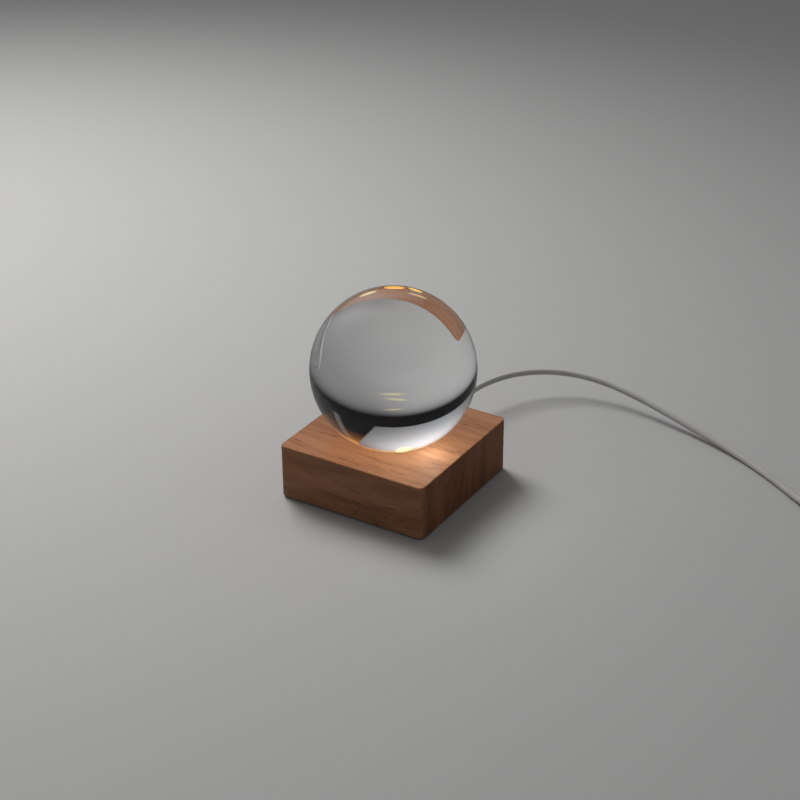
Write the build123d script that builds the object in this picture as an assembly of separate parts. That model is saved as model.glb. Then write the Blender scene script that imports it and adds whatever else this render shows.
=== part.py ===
"""Glass ball lamp: a solid glass ball on a square wooden block with LEDs, and a USB lead with a switch.

Millimetres. The origin is on the table under the middle of the block, +Z is up and -Y is the front.
The lead leaves the back of the block (+Y), comes round to +X and lies on the table there.
"""

import math
import os

from build123d import *

# Ball and wooden block; the ball is as wide as its block
BASE_WIDTH = 80.0
BASE_HEIGHT = 27.6
CORNER_RADIUS = 3.2
EDGE_RADIUS = 0.6
BALL_DIAMETER = BASE_WIDTH
BALL_SINK = 6.2
SEAT_CLEARANCE = 0.25
SEAT_WIDTH = 3.4
CEILING_WIDTH = 7.4
COVER_LEDGE = 6.0
COVER_THICKNESS = 2.4
FOOT_THICKNESS = 0.8
FOOT_RADIUS = 5.0
FOOT_INSET = 8.0

# Light under the ball
WINDOW_DROP = 0.4
WINDOW_THICKNESS = 1.5
WINDOW_LIP = 2.4
RING_THICKNESS = 1.5
BOARD_THICKNESS = 1.2
BOARD_CLEARANCE = 0.4
LED_COUNT = 6
LED_RING_RADIUS = 12.0
LED_LENGTH = 3.5
LED_WIDTH = 2.8
LED_HEIGHT = 0.8
LENS_RADIUS = 1.15
LENS_DEPTH = 0.15
RESISTOR_LENGTH = 3.2
RESISTOR_WIDTH = 1.6
RESISTOR_HEIGHT = 0.6
RESISTOR_PITCH = 4.0
FIT = 0.2

# Screws of the block
BOARD_SCREW_COUNT = 3
BOARD_SCREW_RADIUS = 0.9
BOARD_SCREW_HEAD_RADIUS = 1.6
BOARD_SCREW_HEAD_HEIGHT = 1.2
BOARD_SCREW_BITE = 5.0
BOARD_SCREW_ANGLE = 30.0
COVER_SCREW_COUNT = 4
COVER_SCREW_RADIUS = 1.4
COVER_SCREW_HEAD_RADIUS = 2.5
COVER_SCREW_BITE = 10.0
COVER_SCREW_ANGLE = 45.0
SCREW_CLEARANCE = 0.05
DRIVE_SLOT_WIDTH = 0.5
DRIVE_SLOT_DEPTH = 0.5

# Lead and where it leaves the block
CORD_DIAMETER = 3.2
CORD_CLEARANCE = 0.15
CORD_TAIL_END = 14.0
GROMMET_RADIUS = 3.2
GROMMET_CLEARANCE = 0.05
GROMMET_DEPTH = 9.0
GROMMET_FLANGE_RADIUS = 4.6
GROMMET_FLANGE_THICKNESS = 1.4
GROMMET_TAIL_LENGTH = 10.0
GROMMET_TAIL_WALL = 0.7
TIE_WIDTH = 2.5
TIE_THICKNESS = 1.0
TIE_GAP = 0.3
TIE_HEAD_LENGTH = 4.0
TIE_HEAD_HEIGHT = 3.4
TIE_FROM_WALL = 2.0
WIRE_DIAMETER = 1.2
WIRE_BEND = 0.9
SOLDER_RADIUS = 1.3
SOLDER_TIP_RADIUS = 0.65
SOLDER_HEIGHT = 0.8
SOLDER_PITCH = 7.0

# Route of the lead after the grommet. It leaves straight, then each point has its x and y from the
# grommet's tip and the air under the lead. The last two points lie at the switch's middle height.
CORD_STRAIGHT = 17.6
CORD_ROUTE = [
    (0.6, 35.6, 12.6),
    (9.0, 57.6, 12.2),
    (26.0, 73.1, 10.7),
    (47.0, 79.9, 7.8),
    (70.0, 78.9, 4.0),
    (92.0, 73.6, 1.3),
    (114.0, 65.8, 0.0),
    (137.0, 55.8, 0.0),
    (158.0, 44.4, 0.0),
    (175.0, 33.1, 0.1),
    (187.0, 24.1, 1.6),
]
SWITCH_ROUTE = [(195.2, 17.4), (202.2, 11.7)]
# The stretch from the switch to the coil: along the lead, to its left, and the share of the way down.
LEAD_ROUTE = [(0.0, 0.0, 0.0), (7.0, 0.0, 0.0), (15.0, 0.6, 0.6), (22.0, 0.0, 1.0), (28.0, 0.0, 1.0)]
# The stretch from the coil to the plug, given the same way.
END_ROUTE = [(0.0, 0.0, 0.0), (5.0, 0.0, 0.0), (11.0, -0.4, 0.6), (16.0, 0.0, 1.0), (20.0, 0.0, 1.0)]
ARC_SHARE = 0.45

# Coil of the unseen length and its tie
COIL_START_RADIUS = 21.4
COIL_GAP = 0.6
COIL_CLIMB_ROOM = 0.6
COIL_HALF_TURNS_IN = 5
COIL_HALF_TURNS_OUT = 6
STRAP_WIDTH = 5.0
STRAP_THICKNESS = 0.6
STRAP_CLEARANCE = 0.4

# Switch on the lead
SWITCH_WALL = 1.4
SWITCH_END_ROOM = 15.9
SWITCH_CORNER_RADIUS = 5.5
SWITCH_TOP_RADIUS = 1.2
SWITCH_FOOT_RADIUS = 0.8
SWITCH_CORD_DEPTH = 4.0
ROCKER_LENGTH = 12.6
ROCKER_WIDTH = 6.6
ROCKER_RISE = 4.2
ROCKER_DIP = 1.2
ROCKER_DEPTH = 1.6
ROCKER_SHOULDER = 1.4
ROCKER_FOOT = 6.3
ROCKER_TILT = 9.0
ROCKER_CLEARANCE = 0.3
PIVOT_BELOW_TOP = 3.2
PIVOT_RADIUS = 0.9
PIVOT_CLEARANCE = 0.08
AXLE_SETBACK = 0.1
POST_GAP = 0.4
POST_THICKNESS = 1.3
POST_LENGTH = 4.4
POST_TOP_GAP = 0.1
POST_SIDE_GAP = 1.1
CASE_SCREW_FROM_END = 8.0
CASE_SCREW_FROM_SIDE = 3.2
CASE_SCREW_RADIUS = 0.75
CASE_SCREW_HEAD_RADIUS = 1.5
CASE_SCREW_HEAD_HEIGHT = 1.0
CASE_BOSS_RADIUS = 2.0
TERMINAL_WIDTH = 3.0
TERMINAL_THICKNESS = 0.5
TERMINAL_FROM_CORD = 6.0
TERMINAL_FOOT = 6.5
LEAF_LIFT = 1.8
LEAF_GAP = 1.0
CASE_WIRE_BEND = 2.4

# Plug
PLUG_TAIL_LENGTH = 9.0
PLUG_TAIL_WALL = 0.6
PLUG_GRIP_LENGTH = 22.0
PLUG_GRIP_WIDTH = 16.0
PLUG_GRIP_HEIGHT = 8.0
PLUG_GRIP_RADIUS = 2.2
PLUG_BACK_RADIUS = 1.1
SHELL_WIDTH = 12.0
SHELL_HEIGHT = 4.5
SHELL_WALL = 0.3
SHELL_REACH = 12.0
SHELL_DEPTH = 6.5
SHELL_WINDOW = 2.2
SHELL_WINDOW_PITCH = 5.0
SHELL_WINDOW_FROM_TIP = 5.2
TONGUE_THICKNESS = 1.8
TONGUE_SETBACK = 1.2
CONTACT_COUNT = 4
CONTACT_PITCH = 2.4
CONTACT_WIDTH = 1.0
CONTACT_LENGTH = 7.0
CONTACT_THICKNESS = 0.25

# Sizes of the block that follow from the ones above
ball_radius = BALL_DIAMETER / 2
half_width = BASE_WIDTH / 2
base_top = FOOT_THICKNESS + BASE_HEIGHT
ball_bottom = base_top - BALL_SINK
ball_middle = ball_bottom + ball_radius
seat_radius = math.sqrt(ball_radius**2 - (ball_radius - BALL_SINK) ** 2)
well_radius = seat_radius - SEAT_WIDTH
window_radius = well_radius + WINDOW_LIP
window_top = ball_bottom - WINDOW_DROP
window_bottom = window_top - WINDOW_THICKNESS
board_top = window_bottom - RING_THICKNESS
board_bottom = board_top - BOARD_THICKNESS
pocket_radius = window_radius + FIT + CEILING_WIDTH
cover_radius = pocket_radius + COVER_LEDGE
cover_top = FOOT_THICKNESS + COVER_THICKNESS
board_radius = pocket_radius - BOARD_CLEARANCE
board_screw_circle = (window_radius + FIT + pocket_radius) / 2
cover_screw_circle = (cover_radius + pocket_radius) / 2

# Sizes of the lead that follow from the ones above
cord_radius = CORD_DIAMETER / 2
cord_hole_radius = cord_radius + CORD_CLEARANCE
tie_radius = cord_hole_radius + TIE_THICKNESS
cord_height = board_bottom - TIE_GAP - tie_radius
wire_radius = WIRE_DIAMETER / 2
flange_end = half_width + GROMMET_FLANGE_THICKNESS
grommet_tip = flange_end + GROMMET_TAIL_LENGTH
coil_pitch = CORD_DIAMETER + COIL_GAP
coil_low = STRAP_THICKNESS + STRAP_CLEARANCE + cord_radius
coil_high = coil_low + coil_pitch
coil_inner_radius = COIL_START_RADIUS - COIL_HALF_TURNS_IN * coil_pitch / 2 - COIL_CLIMB_ROOM
plug_height = PLUG_GRIP_HEIGHT / 2
plug_front = PLUG_TAIL_LENGTH + PLUG_GRIP_LENGTH
shell_tip = plug_front + SHELL_REACH
tongue_bottom = plug_height + SHELL_HEIGHT / 2 - SHELL_WALL - TONGUE_THICKNESS

# Sizes of the switch that follow from the ones above
tilt = math.radians(ROCKER_TILT)
rocker_reach = ROCKER_LENGTH / 2 * math.cos(tilt) + ROCKER_RISE * math.sin(tilt)
rocker_low = ROCKER_DEPTH * math.cos(tilt) + ROCKER_FOOT / 2 * math.sin(tilt)
rocker_window = rocker_reach + ROCKER_CLEARANCE
post_inside = ROCKER_WIDTH / 2 + POST_GAP
post_outside = post_inside + POST_THICKNESS
leaf_top = SWITCH_WALL + LEAF_LIFT + TERMINAL_THICKNESS
pivot_height = leaf_top + LEAF_GAP + rocker_low
switch_length = 2 * (rocker_window + SWITCH_END_ROOM)
switch_width = 2 * (post_outside + POST_SIDE_GAP + SWITCH_WALL)
switch_height = pivot_height + PIVOT_BELOW_TOP
split_height = switch_height / 2
case_screw_tip = switch_height - SWITCH_WALL
cord_stop = switch_length / 2 - SWITCH_CORD_DEPTH
terminal_tail = cord_stop - TERMINAL_FROM_CORD


def post(radius, bottom, top, x=0.0, y=0.0):
    """Upright round solid between two heights."""
    return Pos(x, y, (bottom + top) / 2) * Cylinder(radius, top - bottom)


def block(low, high):
    """Box between two opposite corners."""
    middle = [(a + b) / 2 for a, b in zip(low, high)]
    return Pos(*middle) * Box(*[b - a for a, b in zip(low, high)])


def rod(radius, start, end):
    """Round solid between two points."""
    axis = Vector(*end) - Vector(*start)
    return extrude(Plane(origin=start, z_dir=axis) * Circle(radius), axis.length)


def profile(points, width):
    """Solid of a drawn outline in x and z, as wide to each side of the middle."""
    across = Plane(origin=(0, 0, 0), x_dir=(1, 0, 0), z_dir=(0, -1, 0))
    return extrude(across * make_face(Polyline(*points, close=True)), width / 2, both=True)


def on_circle(radius, count, first_angle):
    """Points spread evenly on a circle about the middle, with their angles."""
    angles = [first_angle + 360 * k / count for k in range(count)]
    return [(radius * math.cos(math.radians(a)), radius * math.sin(math.radians(a)), a) for a in angles]


def save(name, *solids):
    """Writes one node, of one solid or of a group of separate ones."""
    shape = solids[0] if len(solids) == 1 else Compound(children=list(solids))
    export_step(shape, os.path.join("parts", f"{name}.step"))


def tube(name, points):
    """The lead along straight runs, joined by arcs as large as the runs allow."""
    corners = [Vector(*p) for p in points]
    runs = [b - a for a, b in zip(corners, corners[1:])]
    radii = []
    for before, after in zip(runs, runs[1:]):
        half_turn = math.radians(before.get_angle(after)) / 2
        radii.append(ARC_SHARE * min(before.length, after.length) / math.tan(half_turn))
    path = FilletPolyline(*corners, radius=radii)
    print(f"{name} radii {[round(r, 1) for r in radii]}")
    return sweep_cord(name, path)


def sweep_cord(name, path):
    """Sweeps the lead's section along a path and prints its volume against section times length."""
    solid = sweep(Plane(origin=path @ 0, z_dir=path % 0) * Circle(cord_radius), path=path)
    share = solid.volume / (math.pi * cord_radius**2 * path.length)
    print(f"{name} length {path.length:.1f}, volume share {share:.4f}")
    return solid


def wire(points, bend):
    """Thin wire with one bend radius at each corner."""
    path = FilletPolyline(*[Vector(*p) for p in points], radius=bend)
    return sweep(Plane(origin=path @ 0, z_dir=path % 0) * Circle(wire_radius), path=path)


def drive_slot(x, y, bottom, head_radius):
    """What a screwdriver's slot takes off a screw's head."""
    return Pos(x, y, bottom) * Box(4 * head_radius, DRIVE_SLOT_WIDTH, 2 * DRIVE_SLOT_DEPTH)


def screw(x, y, bottom, head_height, head_radius, shank_radius, tip):
    """Screw that stands head down."""
    head = post(head_radius, bottom, bottom + head_height, x, y)
    shank = post(shank_radius, bottom + head_height, tip, x, y)
    return head + shank - drive_slot(x, y, bottom, head_radius)


def board_screw_places():
    return on_circle(board_screw_circle, BOARD_SCREW_COUNT, BOARD_SCREW_ANGLE)


def cover_screw_places():
    return on_circle(cover_screw_circle, COVER_SCREW_COUNT, COVER_SCREW_ANGLE)


def wood_block():
    """Wooden block with the ball's seat, the light well, the pocket under it and the lead's hole."""
    outline = RectangleRounded(BASE_WIDTH, BASE_WIDTH, CORNER_RADIUS)
    body = extrude(Pos(0, 0, FOOT_THICKNESS) * outline, BASE_HEIGHT)
    level_faces = body.faces().sort_by(Axis.Z)
    body = fillet(level_faces[0].edges() + level_faces[-1].edges(), EDGE_RADIUS)
    body -= Pos(0, 0, ball_middle) * Sphere(ball_radius + SEAT_CLEARANCE)
    body -= post(well_radius, window_bottom, base_top)
    body -= post(window_radius + FIT, window_bottom, window_top)
    body -= post(pocket_radius, FOOT_THICKNESS, window_bottom)
    body -= post(cover_radius + FIT, 0, cover_top)
    body -= rod(GROMMET_RADIUS + GROMMET_CLEARANCE, (0, 0, cord_height), (0, BASE_WIDTH, cord_height))
    board_pilot = BOARD_SCREW_RADIUS + SCREW_CLEARANCE
    for x, y, _ in board_screw_places():
        body -= post(board_pilot, window_bottom, window_bottom + BOARD_SCREW_BITE + SCREW_CLEARANCE, x, y)
    cover_pilot = COVER_SCREW_RADIUS + SCREW_CLEARANCE
    for x, y, _ in cover_screw_places():
        body -= post(cover_pilot, cover_top, cover_top + COVER_SCREW_BITE + SCREW_CLEARANCE, x, y)
    return body


def board_disc(bottom, top):
    """Disc as wide as the board, with the holes for the board's screws."""
    disc = post(board_radius, bottom, top)
    for x, y, _ in board_screw_places():
        disc -= post(BOARD_SCREW_RADIUS + FIT, bottom, top, x, y)
    return disc


def reflector_ring():
    """White ring between the board and the window."""
    return board_disc(board_top, window_bottom) - post(well_radius + FIT, board_top, window_bottom)


def leds():
    """Flat LEDs on a ring, each with a shallow round well for its lens."""
    lens_well = Pos(0, 0, (LED_HEIGHT - LENS_DEPTH) / 2) * Cylinder(LENS_RADIUS, LENS_DEPTH)
    body = Box(LED_WIDTH, LED_LENGTH, LED_HEIGHT) - lens_well
    places = on_circle(LED_RING_RADIUS, LED_COUNT, 0)
    return [Pos(x, y, board_top + LED_HEIGHT / 2) * Rot(0, 0, angle) * body for x, y, angle in places]


def resistors():
    body = Box(RESISTOR_LENGTH, RESISTOR_WIDTH, RESISTOR_HEIGHT)
    return [Pos(0, side * RESISTOR_PITCH / 2, board_top + RESISTOR_HEIGHT / 2) * body for side in (-1, 1)]


def board_screws():
    bottom = board_bottom - BOARD_SCREW_HEAD_HEIGHT
    tip = window_bottom + BOARD_SCREW_BITE
    sizes = (BOARD_SCREW_HEAD_HEIGHT, BOARD_SCREW_HEAD_RADIUS, BOARD_SCREW_RADIUS, tip)
    return [screw(x, y, bottom, *sizes) for x, y, _ in board_screw_places()]


def solder_joints():
    """Two beads under the board, where the wires are soldered."""
    bead = Cone(SOLDER_TIP_RADIUS, SOLDER_RADIUS, SOLDER_HEIGHT)
    return [Pos(side * SOLDER_PITCH / 2, 0, board_bottom - SOLDER_HEIGHT / 2) * bead for side in (-1, 1)]


def board_wire(side):
    """Wire from the end of the lead to its solder joint, on one side."""
    near, far, top = side * cord_radius / 2, side * SOLDER_PITCH / 2, board_bottom - SOLDER_HEIGHT
    bend = WIRE_BEND * (top - cord_height)
    straight = CORD_TAIL_END - CORD_DIAMETER
    points = [(near, CORD_TAIL_END, cord_height), (near, straight, cord_height)]
    return wire(points + [(far, 0, cord_height), (far, 0, top)], bend)


def cord_tail():
    """The lead inside the block and the grommet."""
    return rod(cord_radius, (0, CORD_TAIL_END, cord_height), (0, grommet_tip, cord_height))


def pull_stop_tie():
    """Cable tie round the lead inside the pocket, with its head below."""
    end = pocket_radius - TIE_FROM_WALL
    start = end - TIE_WIDTH
    ring = rod(tie_radius, (0, start, cord_height), (0, end, cord_height))
    head_low = cord_height - cord_hole_radius - TIE_HEAD_HEIGHT
    head = block((-TIE_HEAD_LENGTH / 2, start, head_low), (TIE_HEAD_LENGTH / 2, end, cord_height))
    return ring + head - rod(cord_hole_radius, (0, 0, cord_height), (0, half_width, cord_height))


def cable_grommet():
    """Rubber grommet in the back face, with a flange and a tail that tapers along the lead."""
    body = rod(GROMMET_RADIUS, (0, half_width - GROMMET_DEPTH, cord_height), (0, flange_end, cord_height))
    body += rod(GROMMET_FLANGE_RADIUS, (0, half_width, cord_height), (0, flange_end, cord_height))
    tail = Cone(GROMMET_RADIUS, cord_hole_radius + GROMMET_TAIL_WALL, GROMMET_TAIL_LENGTH)
    body += Pos(0, (flange_end + grommet_tip) / 2, cord_height) * Rot(-90, 0, 0) * tail
    return body - rod(cord_hole_radius, (0, 0, cord_height), (0, 2 * grommet_tip, cord_height))


def countersunk(x, y, clearance):
    """Head of a cover screw, flush with the cover's underside and as deep as the cover."""
    head = Cone(COVER_SCREW_HEAD_RADIUS + clearance, COVER_SCREW_RADIUS + clearance, COVER_THICKNESS)
    return Pos(x, y, FOOT_THICKNESS + COVER_THICKNESS / 2) * head


def bottom_cover():
    """Flat cover in the rebate of the block's underside, countersunk for its screws."""
    cover = post(cover_radius, FOOT_THICKNESS, cover_top)
    for x, y, _ in cover_screw_places():
        cover -= countersunk(x, y, SCREW_CLEARANCE)
    return cover


def cover_screws():
    made = []
    for x, y, _ in cover_screw_places():
        shank = post(COVER_SCREW_RADIUS, cover_top, cover_top + COVER_SCREW_BITE, x, y)
        slot = drive_slot(x, y, FOOT_THICKNESS, COVER_SCREW_HEAD_RADIUS)
        made.append(countersunk(x, y, 0) + shank - slot)
    return made


def feet():
    reach = half_width - FOOT_INSET
    places = [(x, y) for x in (-reach, reach) for y in (-reach, reach)]
    return [post(FOOT_RADIUS, 0, FOOT_THICKNESS, x, y) for x, y in places]


def route_points():
    """The lead's corner points from the grommet's tip to the inside of the switch."""
    points = [(0.0, grommet_tip, cord_height), (0.0, grommet_tip + CORD_STRAIGHT, cord_height)]
    points += [(x, grommet_tip + y, air + cord_radius) for x, y, air in CORD_ROUTE]
    return points + [(x, grommet_tip + y, split_height) for x, y in SWITCH_ROUTE]


def heading_plane(points):
    """Plane on the table at a route's end: x along its last run, y to its left."""
    run = Vector(*points[-1]) - Vector(*points[-2])
    return Plane(origin=(points[-1][0], points[-1][1], 0), x_dir=(run.X, run.Y, 0), z_dir=(0, 0, 1))


def further(plane, x, y=0.0):
    """The same plane, moved along its own x and y."""
    return Plane(origin=plane.from_local_coords((x, y, 0)), x_dir=plane.x_dir, z_dir=plane.z_dir)


def stretch(plane, route, start_height, end_height):
    """A short stretch's corner points, from steps along a plane and a share of its way down."""
    drop = start_height - end_height
    return [tuple(plane.from_local_coords((x, y, start_height - share * drop))) for x, y, share in route]


def coil_path():
    """Two layers of loops: in along the table, up in the half turn at the inside, and out on top.

    It is drawn about the coil's middle, starts on its +X side and runs towards -Y.
    """
    step = coil_pitch / 2
    reach, side = COIL_START_RADIUS, 1
    edges = [Line((reach, CORD_DIAMETER, coil_low), (reach, 0, coil_low))]
    for turn in range(COIL_HALF_TURNS_IN):
        last = turn == COIL_HALF_TURNS_IN - 1
        next_reach = coil_inner_radius if last else reach - step
        start, end = (side * reach, 0, coil_low), (-side * next_reach, 0, coil_low)
        edges.append(TangentArc(start, end, tangent=(0, -side, 0)))
        reach, side = next_reach, -side
    crest = (0, -side * math.hypot(reach, coil_pitch / 2), (coil_low + coil_high) / 2)
    edges.append(TangentArc((side * reach, 0, coil_low), crest, tangent=(0, -side, 0)))
    edges.append(TangentArc(crest, (-side * reach, 0, coil_high), tangent=edges[-1] % 1))
    for turn in range(COIL_HALF_TURNS_OUT):
        side = -side
        next_reach = reach + step + (COIL_CLIMB_ROOM if turn == 0 else 0)
        start, end = (side * reach, 0, coil_high), (-side * next_reach, 0, coil_high)
        edges.append(TangentArc(start, end, tangent=(0, -side, 0)))
        reach = next_reach
    edges.append(Line((-side * reach, 0, coil_high), (-side * reach, side * CORD_DIAMETER, coil_high)))
    return Wire(edges), reach


def least_self_gap(path):
    """The least air between two turns of a wound path, measured on points along it."""
    spacing = CORD_DIAMETER / 4
    count = int(path.length / spacing)
    points = [path.position_at(k / count) for k in range(count + 1)]
    skip = int(3 * CORD_DIAMETER / spacing)
    near = 2 * CORD_DIAMETER
    gaps = [
        (a - b).length
        for i, a in enumerate(points)
        for b in points[i + skip :]
        if abs(a.X - b.X) < near and abs(a.Y - b.Y) < near
    ]
    return min(gaps) - CORD_DIAMETER


def coil_strap():
    """Flat tie round the coil's turns, on the side away from the ends."""
    outer = coil_inner_radius + COIL_CLIMB_ROOM + (COIL_HALF_TURNS_OUT - 1) * coil_pitch / 2
    bow = coil_inner_radius - math.sqrt(coil_inner_radius**2 - STRAP_WIDTH**2 / 4)
    low_x = coil_inner_radius - cord_radius - STRAP_CLEARANCE - bow
    high_x = outer + cord_radius + STRAP_CLEARANCE
    high_z = coil_high + cord_radius + STRAP_CLEARANCE
    clear = (high_x - low_x, high_z - STRAP_THICKNESS)
    middle = (-(low_x + high_x) / 2, 0, (high_z + STRAP_THICKNESS) / 2)
    face = Plane(origin=middle, x_dir=(1, 0, 0), z_dir=(0, 1, 0))
    whole = [side + 2 * STRAP_THICKNESS for side in clear]
    outside = RectangleRounded(*whole, STRAP_CLEARANCE + STRAP_THICKNESS)
    return extrude(face * (outside - RectangleRounded(*clear, STRAP_CLEARANCE)), STRAP_WIDTH / 2, both=True)


def case_shell(bottom, top, eased_face, eased_radius, hollow_bottom, hollow_top):
    """Rounded half of the switch's case, eased along one face, with the lead's holes at both ends."""
    outline = RectangleRounded(switch_length, switch_width, SWITCH_CORNER_RADIUS)
    body = extrude(Pos(0, 0, bottom) * outline, top - bottom)
    body = fillet(body.faces().sort_by(Axis.Z)[eased_face].edges(), eased_radius)
    inside = [switch_length - 2 * SWITCH_WALL, switch_width - 2 * SWITCH_WALL]
    hollow = RectangleRounded(*inside, SWITCH_CORNER_RADIUS - SWITCH_WALL)
    body -= extrude(Pos(0, 0, hollow_bottom) * hollow, hollow_top - hollow_bottom)
    return body - rod(cord_hole_radius, (-switch_length, 0, split_height), (switch_length, 0, split_height))


def case_screw_places():
    x = switch_length / 2 - CASE_SCREW_FROM_END
    y = CASE_SCREW_FROM_SIDE - switch_width / 2
    return [(-x, y), (x, y)]


def switch_lower_case():
    """Tray with the rocker's two posts and the screws' bosses."""
    body = case_shell(0, split_height, 0, SWITCH_FOOT_RADIUS, SWITCH_WALL, split_height)
    post_top = switch_height - SWITCH_WALL - POST_TOP_GAP
    for side in (-1, 1):
        low, high = sorted((side * post_inside, side * post_outside))
        body += block((-POST_LENGTH / 2, low, SWITCH_WALL / 2), (POST_LENGTH / 2, high, post_top))
    bore = PIVOT_RADIUS + PIVOT_CLEARANCE
    body -= rod(bore, (0, -post_outside, pivot_height), (0, post_outside, pivot_height))
    for x, y in case_screw_places():
        body += post(CASE_BOSS_RADIUS, SWITCH_WALL / 2, split_height, x, y)
        body -= post(CASE_SCREW_HEAD_RADIUS + SCREW_CLEARANCE, 0, CASE_SCREW_HEAD_HEIGHT, x, y)
        body -= post(CASE_SCREW_RADIUS + SCREW_CLEARANCE, 0, split_height, x, y)
    return body


def switch_upper_case():
    """Cap with the rocker's window and the bosses that the screws bite in."""
    ceiling = switch_height - SWITCH_WALL
    body = case_shell(split_height, switch_height, -1, SWITCH_TOP_RADIUS, split_height, ceiling)
    pilot = CASE_SCREW_RADIUS + SCREW_CLEARANCE
    for x, y in case_screw_places():
        body += post(CASE_BOSS_RADIUS, split_height, switch_height - SWITCH_WALL / 2, x, y)
        body -= post(pilot, split_height, case_screw_tip + SCREW_CLEARANCE, x, y)
    window = Box(2 * rocker_window, ROCKER_WIDTH + 2 * ROCKER_CLEARANCE, 4 * SWITCH_WALL)
    return body - Pos(0, 0, switch_height) * window


def switch_screws():
    sizes = (CASE_SCREW_HEAD_HEIGHT, CASE_SCREW_HEAD_RADIUS, CASE_SCREW_RADIUS, case_screw_tip)
    return [screw(x, y, 0, *sizes) for x, y in case_screw_places()]


def switch_rocker():
    """Rocker with a dipped top and a stub axle on each side, tilted to its on position."""
    end, foot = ROCKER_LENGTH / 2, ROCKER_FOOT / 2
    right = [(end, ROCKER_RISE), (end, ROCKER_SHOULDER), (foot, -ROCKER_DEPTH)]
    left = [(-x, z) for x, z in reversed(right)]
    body = profile([(0, ROCKER_RISE - ROCKER_DIP)] + right + left, ROCKER_WIDTH)
    axle_end = post_outside - AXLE_SETBACK
    body += rod(PIVOT_RADIUS, (0, -axle_end, 0), (0, axle_end, 0))
    return Pos(0, 0, pivot_height) * Rot(0, ROCKER_TILT, 0) * body


def switch_terminals():
    """Two brass strips on the tray's floor; the leaf of the first reaches over the second."""
    low, thick = SWITCH_WALL, TERMINAL_THICKNESS
    foot, ramp_end = -TERMINAL_FOOT, LEAF_LIFT - TERMINAL_FOOT
    under = [(-terminal_tail, low), (foot, low), (ramp_end, leaf_top - thick), (-foot, leaf_top - thick)]
    over = [(-foot, leaf_top), (ramp_end - thick / 2, leaf_top), (foot - thick / 2, low + thick)]
    leaf = profile(under + over + [(-terminal_tail, low + thick)], TERMINAL_WIDTH)
    half = TERMINAL_WIDTH / 2
    fixed = block((thick, -half, low), (terminal_tail, half, low + thick))
    return [leaf, fixed]


def switch_wires():
    """Inside the case: one wire that runs through, and the two ends of the switched one."""
    end = cord_stop - wire_radius
    low = SWITCH_WALL + wire_radius + FIT
    beside = (TERMINAL_WIDTH / 2 + post_inside) / 2
    first_half = [(-end, wire_radius, split_height), (-terminal_tail, beside, low)]
    second_half = [(-x, y, z) for x, y, z in reversed(first_half)]
    made = [wire(first_half + second_half, CASE_WIRE_BEND)]
    for side in (-1, 1):
        tail = (side * terminal_tail, -wire_radius, SWITCH_WALL + TERMINAL_THICKNESS + wire_radius)
        made.append(rod(wire_radius, (side * end, -wire_radius, split_height), tail))
    return made


def plug_grip():
    """Moulded grip with a tail that tapers to the lead, and the socket that holds the shell."""
    tail = Cone(cord_radius + PLUG_TAIL_WALL, plug_height - PLUG_TAIL_WALL, PLUG_TAIL_LENGTH)
    tail = Pos(PLUG_TAIL_LENGTH / 2, 0, plug_height) * Rot(0, 90, 0) * tail
    half = PLUG_GRIP_WIDTH / 2
    grip = block((PLUG_TAIL_LENGTH, -half, 0), (plug_front, half, PLUG_GRIP_HEIGHT))
    grip = fillet(grip.edges().filter_by(Axis.X), PLUG_GRIP_RADIUS)
    grip = fillet(grip.faces().sort_by(Axis.X)[0].edges(), PLUG_BACK_RADIUS)
    return tail + grip - shell_box(0, plug_front - SHELL_DEPTH, shell_tip)


def shell_box(inset, start, end):
    """Box with the plug shell's section, drawn in by a wall, between two places along the plug."""
    half_wide, half_high = SHELL_WIDTH / 2 - inset, SHELL_HEIGHT / 2 - inset
    return block((start, -half_wide, plug_height - half_high), (end, half_wide, plug_height + half_high))


def plug_shell():
    """Thin metal shell with two square windows in its top and in its bottom."""
    back = plug_front - SHELL_DEPTH
    shell = shell_box(0, back, shell_tip) - shell_box(SHELL_WALL, back, shell_tip)
    for side in (-1, 1):
        place = (shell_tip - SHELL_WINDOW_FROM_TIP, side * SHELL_WINDOW_PITCH / 2, plug_height)
        shell -= Pos(*place) * Box(SHELL_WINDOW, SHELL_WINDOW, 2 * SHELL_HEIGHT)
    return shell


def plug_insulator():
    """Block that fills the shell's back, with the tongue that carries the contacts."""
    root = shell_box(SHELL_WALL, plug_front - SHELL_DEPTH, plug_front)
    tongue = shell_box(SHELL_WALL, plug_front, shell_tip - TONGUE_SETBACK)
    return root + (tongue - block((plug_front, -SHELL_WIDTH, 0), (shell_tip, SHELL_WIDTH, tongue_bottom)))


def plug_contacts():
    """Flat contacts side by side under the tongue."""
    made = []
    for k in range(CONTACT_COUNT):
        y = (k - (CONTACT_COUNT - 1) / 2) * CONTACT_PITCH
        low = (plug_front, y - CONTACT_WIDTH / 2, tongue_bottom - CONTACT_THICKNESS)
        made.append(block(low, (plug_front + CONTACT_LENGTH, y + CONTACT_WIDTH / 2, tongue_bottom)))
    return made


def lamp():
    """The ball, the block and what the block holds."""
    save("glass_ball", Pos(0, 0, ball_middle) * Sphere(ball_radius))
    save("wood_base", wood_block())
    save("light_window", post(window_radius, window_bottom, window_top))
    save("reflector_ring", reflector_ring())
    save("led_board", board_disc(board_bottom, board_top))
    save("leds", *leds())
    save("led_resistors", *resistors())
    save("board_screws", *board_screws())
    save("solder_joints", *solder_joints())
    save("red_wire", board_wire(1))
    save("black_wire", board_wire(-1))
    save("cord_tail", cord_tail())
    save("pull_stop_tie", pull_stop_tie())
    save("cable_grommet", cable_grommet())
    save("bottom_cover", bottom_cover())
    save("cover_screws", *cover_screws())
    save("feet", *feet())


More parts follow.
